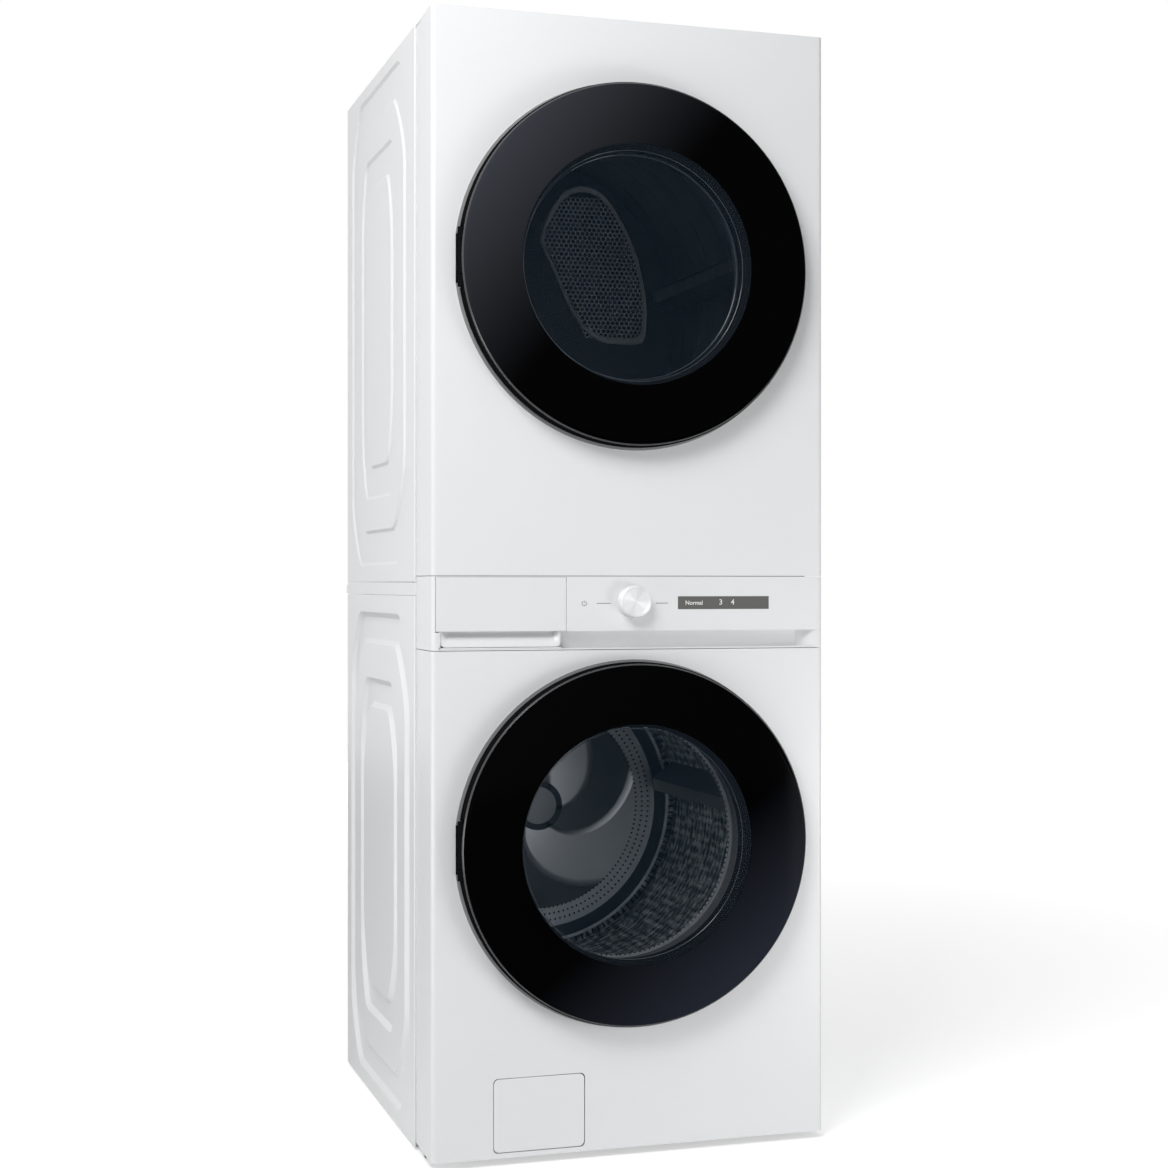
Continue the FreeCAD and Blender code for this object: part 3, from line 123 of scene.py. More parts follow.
class Graph:
    """A material's node tree with one Principled shader."""

    def __init__(self, name: str, **shader: object) -> None:
        """Start a material.

        Args:
            name: The material's name.
            shader: Uniform values for the shader's own sockets, with _ for a space.
        """
        self.material = bpy.data.materials.new(name)
        self.material.use_nodes = True
        self.tree = self.material.node_tree
        self.tree.nodes.clear()
        self.output = self.tree.nodes.new("ShaderNodeOutputMaterial")
        self.shader = self.tree.nodes.new("ShaderNodeBsdfPrincipled")
        self.tree.links.new(self.shader.outputs[0], self.output.inputs["Surface"])
        for key, value in shader.items():
            self.shader.inputs[key.replace("_", " ")].default_value = value

    def node(self, kind: str, settings: dict | None = None, inputs: dict | None = None,
             output: str | int = 0) -> Value:
        """Add any node.

        Args:
            kind: The node's type.
            settings: Properties, which are set first.
            inputs: Numbers, colours or values by socket name or index.
            output: The wanted output.

        Returns:
            The output as a value.
        """
        node = self.tree.nodes.new(kind)
        for key, value in (settings or {}).items():
            setattr(node, key, value)
        for key, value in (inputs or {}).items():
            if isinstance(value, Value):
                self.tree.links.new(value.socket, node.inputs[key])
            else:
                node.inputs[key].default_value = value
        return Value(self, node.outputs[output])

    def feed(self, socket: str, value: Value) -> None:
        """Link a value to one of the shader's sockets."""
        self.tree.links.new(value.socket, self.shader.inputs[socket])

    def place(self, shift: Point = (0, 0, 0), scale: Point = (1, 1, 1)) -> Value:
        """Object coordinates, moved so that a point is their centre, then stretched."""
        here = self.node("ShaderNodeTexCoord", output="Object")
        moved = self.node("ShaderNodeVectorMath", {"operation": "SUBTRACT"}, {0: here, 1: shift})
        return self.node("ShaderNodeVectorMath", {"operation": "MULTIPLY"}, {0: moved, 1: scale})

    def axis(self, vector: Value, name: str) -> Value:
        """One component of a vector."""
        return self.node("ShaderNodeSeparateXYZ", inputs={0: vector}, output=name)

    def noise(self, vector: Value, scale: float, detail: float = 2.0) -> Value:
        """Noise between zero and one."""
        return self.node("ShaderNodeTexNoise", inputs={"Vector": vector, "Scale": scale, "Detail": detail})

    def tint(self, factor: Value, low: Colour, high: Colour) -> Value:
        """A colour between two, by a factor."""
        return self.node("ShaderNodeMix", {"data_type": "RGBA"},
                         {0: factor, 6: (*low, 1.0), 7: (*high, 1.0)}, output=2)

    def blend(self, factor: Value, first: Value, second: object) -> Value:
        """A colour between two linked colours, by a factor."""
        return self.node("ShaderNodeMix", {"data_type": "RGBA"}, {0: factor, 6: first, 7: second}, output=2)

    def bump(self, height: Value, distance: float) -> None:
        """Feed a height, in steps of a distance in metres, to the shader's normal."""
        self.feed("Normal", self.node("ShaderNodeBump", inputs={
            "Height": height, "Distance": distance, "Strength": 1.0}))

    def mottle(self, here: Value, scale: float, colour: Colour, dark: float) -> None:
        """Feed a colour that noise darkens a little in places to the shader's base colour."""
        low = tuple(c * dark for c in colour)
        self.feed("Base Color", self.tint(self.noise(here, scale), low, colour))


# ------------------------------------------------------------------ finishes

@dataclass(frozen=True)
class Enamel:
    """Powder-coated sheet: an even colour under a faint orange peel."""

    name: str = "white_enamel"
    colour: Colour = (0.80, 0.81, 0.82)
    roughness: float = 0.30
    peel: float = 0.00004

    def build(self) -> bpy.types.Material:
        """Make the material.

        Returns:
            The material.
        """
        graph = Graph(self.name, Roughness=self.roughness, Specular_IOR_Level=0.45)
        here = graph.place()
        graph.mottle(here, 3.0, self.colour, 0.985)
        graph.feed("Roughness", graph.noise(here, 40.0) * 0.06 + (self.roughness - 0.03))
        graph.bump(graph.noise(here, 450.0), self.peel)
        return graph.material


@dataclass(frozen=True)
class Plastic:
    """Moulded plastic with a fine spark-eroded grain."""

    name: str
    colour: Colour
    roughness: float = 0.45
    grain: float = 0.00005

    def build(self) -> bpy.types.Material:
        """Make the material.

        Returns:
            The material.
        """
        graph = Graph(self.name, Roughness=self.roughness)
        here = graph.place()
        graph.mottle(here, 9.0, self.colour, 0.94)
        graph.feed("Roughness", graph.noise(here, 120.0) * 0.12 + (self.roughness - 0.06))
        graph.bump(graph.noise(here, 900.0), self.grain)
        return graph.material


@dataclass(frozen=True)
class Metal:
    """Sheet or turned metal with fine lines along one axis."""

    name: str
    colour: Colour = (0.62, 0.63, 0.65)
    roughness: float = 0.34
    stretch: Point = (4.0, 4.0, 400.0)

    def build(self) -> bpy.types.Material:
        """Make the material.

        Returns:
            The material.
        """
        graph = Graph(self.name, Metallic=1.0, Roughness=self.roughness)
        lines = graph.noise(graph.place(scale=self.stretch), 1.0, 4.0)
        graph.feed("Base Color", graph.tint(lines, tuple(c * 0.88 for c in self.colour), self.colour))
        graph.feed("Roughness", lines * 0.16 + (self.roughness - 0.08))
        graph.bump(lines, 0.00003)
        return graph.material


@dataclass(frozen=True)
class Gloss:
    """Deep gloss, as on printed glass."""

    name: str
    colour: Colour
    roughness: float = 0.06
    level: float = 0.25

    def build(self) -> bpy.types.Material:
        """Make the material.

        Returns:
            The material.
        """
        graph = Graph(self.name, Roughness=self.roughness, Specular_IOR_Level=self.level)
        here = graph.place()
        graph.mottle(here, 6.0, self.colour, 0.9)
        graph.feed("Roughness", graph.noise(here, 30.0) * 0.02 + self.roughness)
        return graph.material


@dataclass(frozen=True)
class Pane:
    """Tinted glass that lets part of what is behind it show."""

    name: str
    colour: Colour
    cover: float
    level: float = 0.3
    roughness: float = 0.03

    def build(self) -> bpy.types.Material:
        """Make the material.

        Returns:
            The material.
        """
        graph = Graph(self.name, Roughness=self.roughness, Specular_IOR_Level=self.level)
        here = graph.place()
        graph.mottle(here, 4.0, self.colour, 0.9)
        graph.feed("Alpha", graph.noise(here, 5.0) * 0.02 + (self.cover - 0.01))
        return graph.material


@dataclass(frozen=True)
class DoorGlass(Pane):
    """A door's smoked glass, with a painted reflection that lightens it at two opposite edges.

    Upper and lower are the strengths of the painted reflection at the upper left and the lower right, and
    start and fade give where each begins and how it grows. The print's edge is a share of the reach, which
    is the door's radius.
    """

    height: float = DRYER_AXIS
    upper: float = 1.0
    lower: float = 0.0
    lean: tuple[float, float] = (0.62, 0.78)
    start: tuple[float, float] = (0.10, 0.25)
    fade: tuple[float, float] = (1.3, 1.1)
    reach: float = 0.3
    print_edge: float = 0.6645
    print_dark: Colour = (0.0004, 0.0004, 0.0005)
    upper_reflection: Colour = (0.042, 0.046, 0.056)
    lower_reflection: Colour = (0.030, 0.036, 0.052)

    def build(self) -> bpy.types.Material:
        """Make the material.

        Returns:
            The material.
        """
        graph = Graph(self.name, Roughness=self.roughness, Specular_IOR_Level=self.level)
        here = graph.place((0.0, 0.0, self.height), (1 / self.reach, 1.0, 1 / self.reach))
        across, up = graph.axis(here, "X"), graph.axis(here, "Z")

        def light(one: Value, other: Value, edge: int, strength: float) -> Value:
            """The painted reflection at one of the two edges."""
            slope = one * self.lean[0] - other * self.lean[1] - self.start[edge]
            return slope.maths("MAXIMUM", 0.0) ** self.fade[edge] * strength

        # painted reflection: the black print is lightened towards the upper left and the lower right
        high, low = light(up, across, 0, self.upper), light(across, up, 1, self.lower)
        painted_reflection = graph.node("ShaderNodeMix", {"data_type": "RGBA", "blend_type": "ADD"},
                           {0: 1.0, 6: graph.tint(high, self.print_dark, self.upper_reflection),
                            7: graph.tint(low, (0.0, 0.0, 0.0), self.lower_reflection)}, output=2)
        printed = (across * across + up * up) ** 0.5 > self.print_edge
        clear = graph.tint(graph.noise(here, 2.0), tuple(c * 0.9 for c in self.colour), self.colour)
        graph.feed("Base Color", graph.blend(printed, clear, painted_reflection))
        graph.feed("Alpha", printed * (1.0 - self.cover) + self.cover)
        return graph.material


@dataclass(frozen=True)
class SpunFace:
    """Turned metal whose fine rings shine in two opposite fans, painted into its colour as highlights."""

    name: str
    centre: Point
    wide: tuple[float, float] = (2.0, 2.2)
    narrow: tuple[float, float] = (6.0, 0.6)

    def build(self) -> bpy.types.Material:
        """Make the material.

        Returns:
            The material.
        """
        graph = Graph(self.name, Metallic=0.25, Roughness=0.3)
        here = graph.place(self.centre)
        across, up = graph.axis(here, "X"), graph.axis(here, "Z")
        angle = across.maths("ARCTAN2", up)
        wide, narrow = ((angle * fans + phase).maths("COSINE") * 0.5 + 0.5
                        for fans, phase in (self.wide, self.narrow))
        radius = (across * across + up * up) ** 0.5
        rings = graph.noise(graph.node("ShaderNodeCombineXYZ", inputs={0: radius}), 6000.0, 1.0)
        # painted highlight: two opposite fans lighten the base colour
        painted_fan_highlight = wide ** 2.0 * 0.7 + narrow * 0.3
        graph.feed("Base Color", graph.tint(painted_fan_highlight, (0.74, 0.745, 0.76), (0.97, 0.97, 0.97)))
        graph.feed("Roughness", rings * 0.12 + 0.26)
        graph.bump(rings, 0.00002)
        return graph.material


@dataclass(frozen=True)
class DrumSheet:
    """Stainless drum sheet round a level axis: holes and pillow pressings, or plain ring beads.

    The back of a perforated drum has a hub, three swirled arms and a band of holes inside a step ring. Its
    hub, arms and rings are darkened as painted shade, and its wall carries painted glints.
    """

    name: str
    axis_height: float
    radius: float
    perforated: bool = True
    pitch: float = 0.0125
    pillow: float = 0.034
    bead: float = 0.085
    relief: float = 0.003
    wall_edge: float = 0.012
    hub: float = 0.036
    hub_ring: float = 0.012
    arms: float = 3.0
    swirl: float = 26.0
    phase: float = 1.35
    arm_end: float = 0.20
    hole_band: tuple[float, float] = (0.198, 0.234)
    step_ring: tuple[float, float] = (0.238, 0.262)
    hole_dark: tuple[float, float, float, float] = (0.004, 0.004, 0.005, 1.0)

    def build(self) -> bpy.types.Material:
        """Make the material.

        Returns:
            The material.
        """
        graph = Graph(self.name, Metallic=0.85, Roughness=0.3)
        here = graph.place((0.0, 0.0, self.axis_height))
        across, along, up = (graph.axis(here, n) for n in "XYZ")
        angle = across.maths("ARCTAN2", up)
        turn = angle * self.radius
        spoke = (across * across + up * up) ** 0.5

        def wave(value: Value, size: float) -> Value:
            """A cosine wave of one size."""
            return (value * (2 * math.pi / size)).maths("COSINE")

        def between(low: float, high: float) -> Value:
            """One in a ring between two radii."""
            return (spoke > low) * (spoke < high)

        if self.perforated:
            wall = spoke > (self.radius - self.wall_edge)
            pressed = wave(turn + along, self.pillow) * wave(turn - along, self.pillow)
            arms = (angle * self.arms + spoke * self.swirl - self.phase).maths("COSINE") * 2.0 + 0.1
            arms = arms.maths("MAXIMUM", 0.0).maths("MINIMUM", 0.9) * between(self.hub, self.arm_end)
            arms = arms + between(-1.0, self.hub) * 0.7
            rings = between(self.hub, self.hub + self.hub_ring) + between(*self.step_ring)
            # painted shade: the hub, the swirled arms and the step rings darken the back's colour
            back = graph.tint(arms.maths("MAXIMUM", rings), (0.78, 0.83, 0.88), (0.030, 0.036, 0.044))
            # painted glints: bright and dark noise patches, lighter on the pillows' tops, on the wall
            painted_glints = (graph.noise(here, 60.0, 5.0) - 0.5) * 4.5 + pressed * 0.3 + 0.35
            side = graph.tint(painted_glints, (0.10, 0.12, 0.14), (0.95, 0.97, 1.0))
            rows = wall * wave(along, self.pitch) + between(*self.hole_band) * wave(spoke, self.pitch)
            holes = ((rows + wave(turn, self.pitch)) > 1.4) * ((wall * pressed) < 0.25)
            colour = graph.blend(holes, graph.blend(wall, back, side), self.hole_dark)
            height = wall * pressed - rings - arms
        else:
            height = wave(along, self.bead).maths("MAXIMUM", 0.8) * 3.0
            colour = graph.tint(graph.noise(here, 7.0), (0.16, 0.18, 0.20), (0.26, 0.29, 0.32))
        graph.feed("Base Color", colour)
        graph.bump(height, self.relief)
        return graph.material


@dataclass(frozen=True)
class BackSheet:
    """Zinc-coated sheet with spangle and level stiffening beads."""

    name: str = "zinc_sheet"
    bead_pitch: float = 0.155
    bead_half: float = 0.27
    bead_depth: float = 0.02

    def build(self) -> bpy.types.Material:
        """Make the material.

        Returns:
            The material.
        """
        graph = Graph(self.name, Metallic=0.9, Roughness=0.42)
        here = graph.place()
        across, up = graph.axis(here, "X"), graph.axis(here, "Z")
        spangle = graph.node("ShaderNodeTexVoronoi", inputs={"Vector": here, "Scale": 130.0},
                             output="Color")
        grey = graph.axis(spangle, "X")
        graph.feed("Base Color", graph.tint(grey, (0.52, 0.54, 0.55), (0.68, 0.70, 0.71)))
        graph.feed("Roughness", grey * 0.14 + 0.34)
        inner = across.maths("ABSOLUTE") < self.bead_half
        bead = (up * (2 * math.pi / self.bead_pitch)).maths("COSINE").maths("MAXIMUM", 0.86) * inner
        graph.bump(bead, self.bead_depth)
        return graph.material


class Finish(Enum):
    """The finishes of this machine's pieces."""

    WHITE = Enamel()
    BACK_STEEL = BackSheet()
    STEEL = Metal("bright_steel")
    DARK_ENAMEL = Enamel("dark_enamel", (0.022, 0.028, 0.035), 0.5, 0.00001)
    WEB = Enamel("grille_enamel", (0.92, 0.94, 0.96), 0.3, 0.00001)
    TURNED = Metal("turned_steel", (0.55, 0.56, 0.58), 0.28, (400.0, 4.0, 400.0))
    BLACK = Plastic("black_plastic", (0.008, 0.008, 0.009), 0.35)
    RIM = Gloss("door_rim_black", (0.007, 0.007, 0.008), 0.4, 0.0)
    EDGE = Gloss("ground_glass_edge", (0.045, 0.047, 0.05), 0.2, 0.5)
    MASK = Gloss("printed_mask", (0.0006, 0.0006, 0.0007), 0.3, 0.01)
    # Each door glass has a painted reflection on its print: at the upper left of the dryer's, mostly at the
    # lower right of the washer's.
    UPPER_GLASS = DoorGlass("upper_door_glass", WINDOW_TINT, 0.09, 0.012, 0.08, DRYER_AXIS, 1.0, 0.0)
    LOWER_GLASS = DoorGlass("lower_door_glass", WINDOW_TINT, 0.09, 0.012, 0.08, WASHER_AXIS, 0.02, 0.8)
    BOWL = Pane("bowl_glass", (0.004, 0.006, 0.008), 0.04, 0.0, 0.15)
    # painted highlight lines on the bowl's lip and bend
    LIP = Gloss("bowl_lip", (0.05, 0.065, 0.08), 0.1, 0.6)
    GREY = Plastic("grey_plastic", (0.30, 0.305, 0.31), 0.4)
    DARK = Plastic("dark_grey_plastic", (0.055, 0.06, 0.066), 0.45)
    PALE = Plastic("pale_plastic", (0.80, 0.81, 0.82), 0.38)
    DISPLAY = Gloss("display_glass", (0.135, 0.135, 0.128), 0.18, 0.2)
    RUBBER = Plastic("grey_rubber", (0.05, 0.052, 0.056), 0.65, 0.0001)
    CAST = Plastic("casting", (0.16, 0.16, 0.165), 0.7, 0.0004)
    INK = Plastic("grey_ink", (0.22, 0.23, 0.24), 0.5)
    LIT = Plastic("lit_segments", (0.85, 0.86, 0.86), 0.5)

    @property
    def material(self) -> bpy.types.Material:
        """The finish's material, made once."""
        return made(self.value)


@lru_cache(maxsize=None)
def made(finish: object) -> bpy.types.Material:
    """Build a finish once and keep it."""
    return finish.build()


# ------------------------------------------------------------------ bench: shaping helpers

def deselect() -> None:
    """Leave nothing selected."""
    bpy.ops.object.select_all(action="DESELECT")


def choose(piece: bpy.types.Object) -> None:
    """Select one piece alone and make it active."""
    deselect()
    piece.select_set(True)
    bpy.context.view_layer.objects.active = piece


def begin(piece: bpy.types.Object) -> None:
    """Open one piece in edit mode with all of it selected."""
    choose(piece)
    bpy.ops.object.mode_set(mode="EDIT")
    bpy.ops.mesh.select_all(action="SELECT")


def trim(piece: bpy.types.Object, unwanted: Callable[[Vector], bool]) -> None:
    """Delete part of a piece and leave it in edit mode.

    Args:
        piece: The piece.
        unwanted: Tells from a vertex's place whether it goes.
    """
    begin(piece)
    bpy.ops.mesh.select_all(action="DESELECT")
    bpy.ops.object.mode_set(mode="OBJECT")
    for vertex in piece.data.vertices:
        vertex.select = unwanted(vertex.co)
    bpy.ops.object.mode_set(mode="EDIT")
    bpy.ops.mesh.delete(type="VERT")


def end(piece: bpy.types.Object, smooth: float = 35.0) -> bpy.types.Object:
    """Merge doubles, turn the faces outwards and smooth the piece by angle.

    Args:
        piece: The piece, in edit mode.
        smooth: The largest angle between faces that is shaded smooth, in degrees.

    Returns:
        The piece.
    """
    bpy.ops.mesh.select_all(action="SELECT")
    bpy.ops.mesh.remove_doubles(threshold=0.00001)
    bpy.ops.mesh.normals_make_consistent(inside=False)
    bpy.ops.object.mode_set(mode="OBJECT")
    bpy.ops.object.shade_smooth_by_angle(angle=math.radians(smooth))
    return piece


def primitive(name: str, add: Callable, scale: Sequence[float] = (1, 1, 1),
              **settings: object) -> bpy.types.Object:
    """Add a primitive and put its place into its mesh.

    Args:
        name: The piece's name.
        add: The operator that adds it.
        scale: Its stretch along each axis.
        settings: The operator's own settings.

    Returns:
        The new piece.
    """
    deselect()
    add(**settings)
    piece = bpy.context.object
    piece.name = name
    piece.data.name = name
    piece.scale = scale
    bpy.ops.object.transform_apply(location=True, rotation=True, scale=True)
    return piece


def lathe(name: str, stations: Sequence[tuple[float, float]], centre: Point,
          segments: int = 160) -> bpy.types.Object:
    """Turn an outline about a line along Y.

    Args:
        name: The piece's name.
        stations: Radius and Y of each point, in order. A zero radius last closes the pole.
        centre: A point on the line.
        segments: Steps in a full turn.

    Returns:
        The turned piece.
    """
    x, _, z = centre
    radius, depth = stations[0]
    piece = primitive(name, bpy.ops.mesh.primitive_circle_add, vertices=segments, radius=radius,
                      fill_type="NOTHING", location=(x, depth, z), rotation=(math.pi / 2, 0, 0))
    begin(piece)
    for wider, deeper in stations[1:]:
        bpy.ops.mesh.extrude_region_move(TRANSFORM_OT_translate={"value": (0, deeper - depth, 0)})
        if wider <= 0:
            bpy.ops.mesh.merge(type="CENTER")
            break
        scale = wider / radius
        bpy.ops.transform.resize(value=(scale, 1, scale), center_override=(x, deeper, z))
        radius, depth = wider, deeper
    return end(piece)


def block(name: str, low: Point, high: Point, bevel: float, segments: int = 3) -> bpy.types.Object:
    """A block between two corners with all its edges rounded.

    Args:
        name: The piece's name.
        low: Its lowest corner.
        high: Its highest corner.
        bevel: The width of the rounding.
        segments: Steps in the rounding.

    Returns:
        The block.
    """
    middle = [(a + b) / 2 for a, b in zip(low, high)]
    size = [b - a for a, b in zip(low, high)]
    piece = primitive(name, bpy.ops.mesh.primitive_cube_add, size=1, location=middle, scale=size)
    begin(piece)
    bpy.ops.mesh.bevel(offset=bevel, segments=segments, affect="EDGES")
    return end(piece)


def modify(piece: bpy.types.Object, kind: str, **settings: object) -> None:
    """Add one modifier to a piece and apply it.

    Args:
        piece: The piece.
        kind: The modifier's type.
        settings: Its settings.
    """
    choose(piece)
    modifier = piece.modifiers.new(kind.lower(), kind)
    for key, value in settings.items():
        setattr(modifier, key, value)
    bpy.ops.object.modifier_apply(modifier=modifier.name)


def put(piece: bpy.types.Object, material: bpy.types.Material) -> None:
    """Replace a piece's material."""
    piece.data.materials.clear()
    piece.data.materials.append(material)


def fit(piece: bpy.types.Object, body: str, finish: bpy.types.Material, slot: str,
        *nodes: str) -> bpy.types.Object:
    """Dress a piece and join it to the frame.

    Args:
        piece: The finished piece.
        body: The CAD body that it moves with.
        finish: Its material.
        slot: The record's material slot; not used.
        nodes: The CAD nodes that it stands for.

    Returns:
        The piece.
    """
    put(piece, finish)
    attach(piece, body)
    if nodes:
        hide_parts(*nodes)
    log.info("%s rides on %s with %d faces", piece.name, body, len(piece.data.polygons))
    return piece


def merged_copy(node: str, body: str, finish: bpy.types.Material, slot: str,
                smooth: float = 30.0) -> bpy.types.Object:
    """A copy of a CAD node with its loose triangles merged and its curved faces smooth.

    Args:
        node: The CAD node.
        body: Its body.
        finish: The new material.
        slot: The record's material slot.
        smooth: The largest angle between faces that is shaded smooth.

    Returns:
        The copy, which replaces the node.
    """
    deselect()
    piece = bpy.data.objects.new(node + "_skin", frame["nodes"][node].data.copy())
    bpy.context.scene.collection.objects.link(piece)
    begin(piece)
    bpy.ops.mesh.customdata_custom_splitnormals_clear()
    bpy.ops.mesh.remove_doubles(threshold=0.00001)
    bpy.ops.object.mode_set(mode="OBJECT")
    bpy.ops.object.shade_smooth_by_angle(angle=math.radians(smooth))
    return fit(piece, body, finish, slot, node)


def rounded(start: tuple[float, float], corner: tuple[float, float], stop: tuple[float, float],
            steps: int = 5) -> list[tuple[float, float]]:
    """Points of a smooth bend.

    Args:
        start: Where it begins.
        corner: The corner that it leans on.
        stop: Where it ends.
        steps: Steps along it.

    Returns:
        The points, with both ends.
    """
    points = []
    for i in range(steps + 1):
        t = i / steps
        points.append(tuple((1 - t) ** 2 * a + 2 * t * (1 - t) * b + t * t * c
                            for a, b, c in zip(start, corner, stop)))
    return points


def eased(value: float) -> float:
    """A step with rounded ends between zero and one."""
    value = min(max(value, 0.0), 1.0)
    return value * value * (3 - 2 * value)


# ------------------------------------------------------------------ the machine's sub-assemblies

class Bend(Enum):
    """A bowl's turn from its stem to its floor.

    The numbers are where it starts as a share of the depth, its corner's radius and distance from the
    floor, the floor's radius, and its steps.
    """

    SHALLOW = (0.55, 0.186, 0.004, 0.13, 10)
    DEEP = (0.26, 0.172, 0.002, 0.115, 12)


@dataclass
class Door:
    """A round door: black rim with its collar and hook, printed glass and inner bowl."""

    machine: str
    body: str
    bowl_node: str
    pane: Finish
    bend: Bend
    radius: float = 0.302
    glass_radius: float = 0.2995
    window: float = 0.1990
    segments: int = 192
    glass_depth: float = 0.0062
    rim_depth: float = 0.024
    collar_outer: float = 0.1985
    collar_inner: float = 0.1945
    notch_right: float = -0.2675
    notch_half: float = 0.049
    hook_span: tuple[float, float] = (0.258, 0.266)
    hook_depth: tuple[float, float] = (0.029, 0.048)
    hook_half: float = 0.010
    stem: float = 0.1932
    bowl_lip: float = 0.1925
    bowl_bend: float = 0.1885
    bowl_wall: float = 0.004
    centre: Point = field(init=False)
    front: float = field(init=False)
    back: float = field(init=False)

    def __post_init__(self) -> None:
        """Read the door's place from its CAD nodes."""
        low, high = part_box(self.machine + "_door_glass")
        self.centre = (0.0, low.y, (low.z + high.z) / 2)
        self.front, self.back = low.y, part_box(self.machine + "_door_frame")[1].y

    def rim(self) -> None:
        """The rim, rounded at its edge, with the collar that holds the bowl and the hinge's notch."""
        y, r, z = self.front + self.glass_depth, self.radius, self.centre[2]
        foot = y + self.rim_depth - 0.0002
        edge = [(self.window + 0.001, y), (r - 0.004, y)]
        edge += rounded((r - 0.004, y), (r, y), (r, y + 0.005))
        edge += [(r, y + 0.018)]
        edge += rounded((r, y + 0.018), (r, y + self.rim_depth), (r - 0.008, foot))
        edge += [(self.collar_outer, foot), (self.collar_outer, self.back), (self.collar_inner, self.back),
                 (self.collar_inner, y + 0.016), (self.window + 0.001, y)]
        piece = lathe(self.machine + "_door_rim", edge, self.centre)
        notch = block(self.machine + "_notch_tool", (-r - 0.008, y - 0.001, z - self.notch_half),
                      (self.notch_right, y + 0.03, z + self.notch_half), 0.0005)
        modify(piece, "BOOLEAN", object=notch, operation="DIFFERENCE", solver="EXACT")
        bpy.data.objects.remove(notch)
        fit(piece, self.body, Finish.RIM.material, "black_plastic")

    def hook(self) -> None:
        """The latch hook behind the rim."""
        z = self.centre[2]
        corners = [(x, self.front + deep, z + up) for x, deep, up in zip(
            self.hook_span, self.hook_depth, (-self.hook_half, self.hook_half))]
        piece = block(self.machine + "_door_hook", *corners, 0.0015)
        fit(piece, self.body, Finish.BLACK.material, "black_plastic", self.machine + "_door_frame")

    def glass(self) -> None:
        """The outer glass, its ground edge and the black print on its back."""
        r, y = self.glass_radius, self.front
        face = lathe(self.machine + "_glass_sheet", [
            (r - 0.0022, y + 0.0012), (r - 0.0060, y + 0.0002), (r - 0.009, y), (0.15, y), (0.0, y)],
            self.centre, self.segments)
        fit(face, self.body, self.pane.material, "black_glass")
        edge = lathe(self.machine + "_glass_edge", [
            (r - 0.0022, y + 0.0012), (r - 0.0008, y + 0.0024), (r, y + 0.0038), (r, y + 0.0058),
            (r - 0.004, y + 0.0058)], self.centre, self.segments)
        fit(edge, self.body, Finish.EDGE.material, "black_glass")
        mask = lathe(self.machine + "_glass_mask", [
            (r - 0.0012, y + 0.0056), (r - 0.0012, y + 0.0034), (r - 0.0075, y + 0.0011),
            (self.window + 0.0012, y + 0.0011), (self.window, y + 0.0018), (self.window, y + 0.0056),
            (r - 0.0012, y + 0.0056)], self.centre, self.segments)
        fit(mask, self.body, Finish.MASK.material, "black_glass", self.machine + "_door_glass")

    def bowl(self) -> None:
        """The pressed glass bowl that closes the port, with a thick lip and a bead at its bend, both
        coloured lighter as painted highlight lines.
        """
        low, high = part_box(self.bowl_node)
        lip, foot = low.y, high.y
        deep = foot - lip
        start, corner, drop, floor, steps = self.bend.value
        shape = [(self.stem, lip), (self.stem, lip + deep * 0.22)]
        shape += rounded((self.bowl_lip, lip + deep * start), (corner, foot - drop), (floor, foot - 0.001),
                         steps)
        shape += [(0.06, foot), (0.0, foot)]
        piece = lathe(self.machine + "_bowl", shape, self.centre)
        modify(piece, "SOLIDIFY", thickness=self.bowl_wall, offset=-1.0)
        fit(piece, self.body, Finish.BOWL.material, "clear_glass", self.bowl_node)
        # painted highlight: lighter glossy beads at the lip and at the bend
        for name, r, y in (("lip", self.bowl_lip, lip + 0.0004),
                           ("bend", self.bowl_bend, lip + deep * 0.42)):
            bead = rounded((r, y), (r - 0.0004, y - 0.0012), (r - 0.0012, y - 0.0002))
            ring = lathe("%s_bowl_%s" % (self.machine, name), [(r, y)] + bead + [(r, y)], self.centre)
            fit(ring, self.body, Finish.LIP.material, "clear_glass")

    def build(self) -> None:
        """Make the whole door."""
        self.rim()
        self.hook()
        self.glass()
        self.bowl()


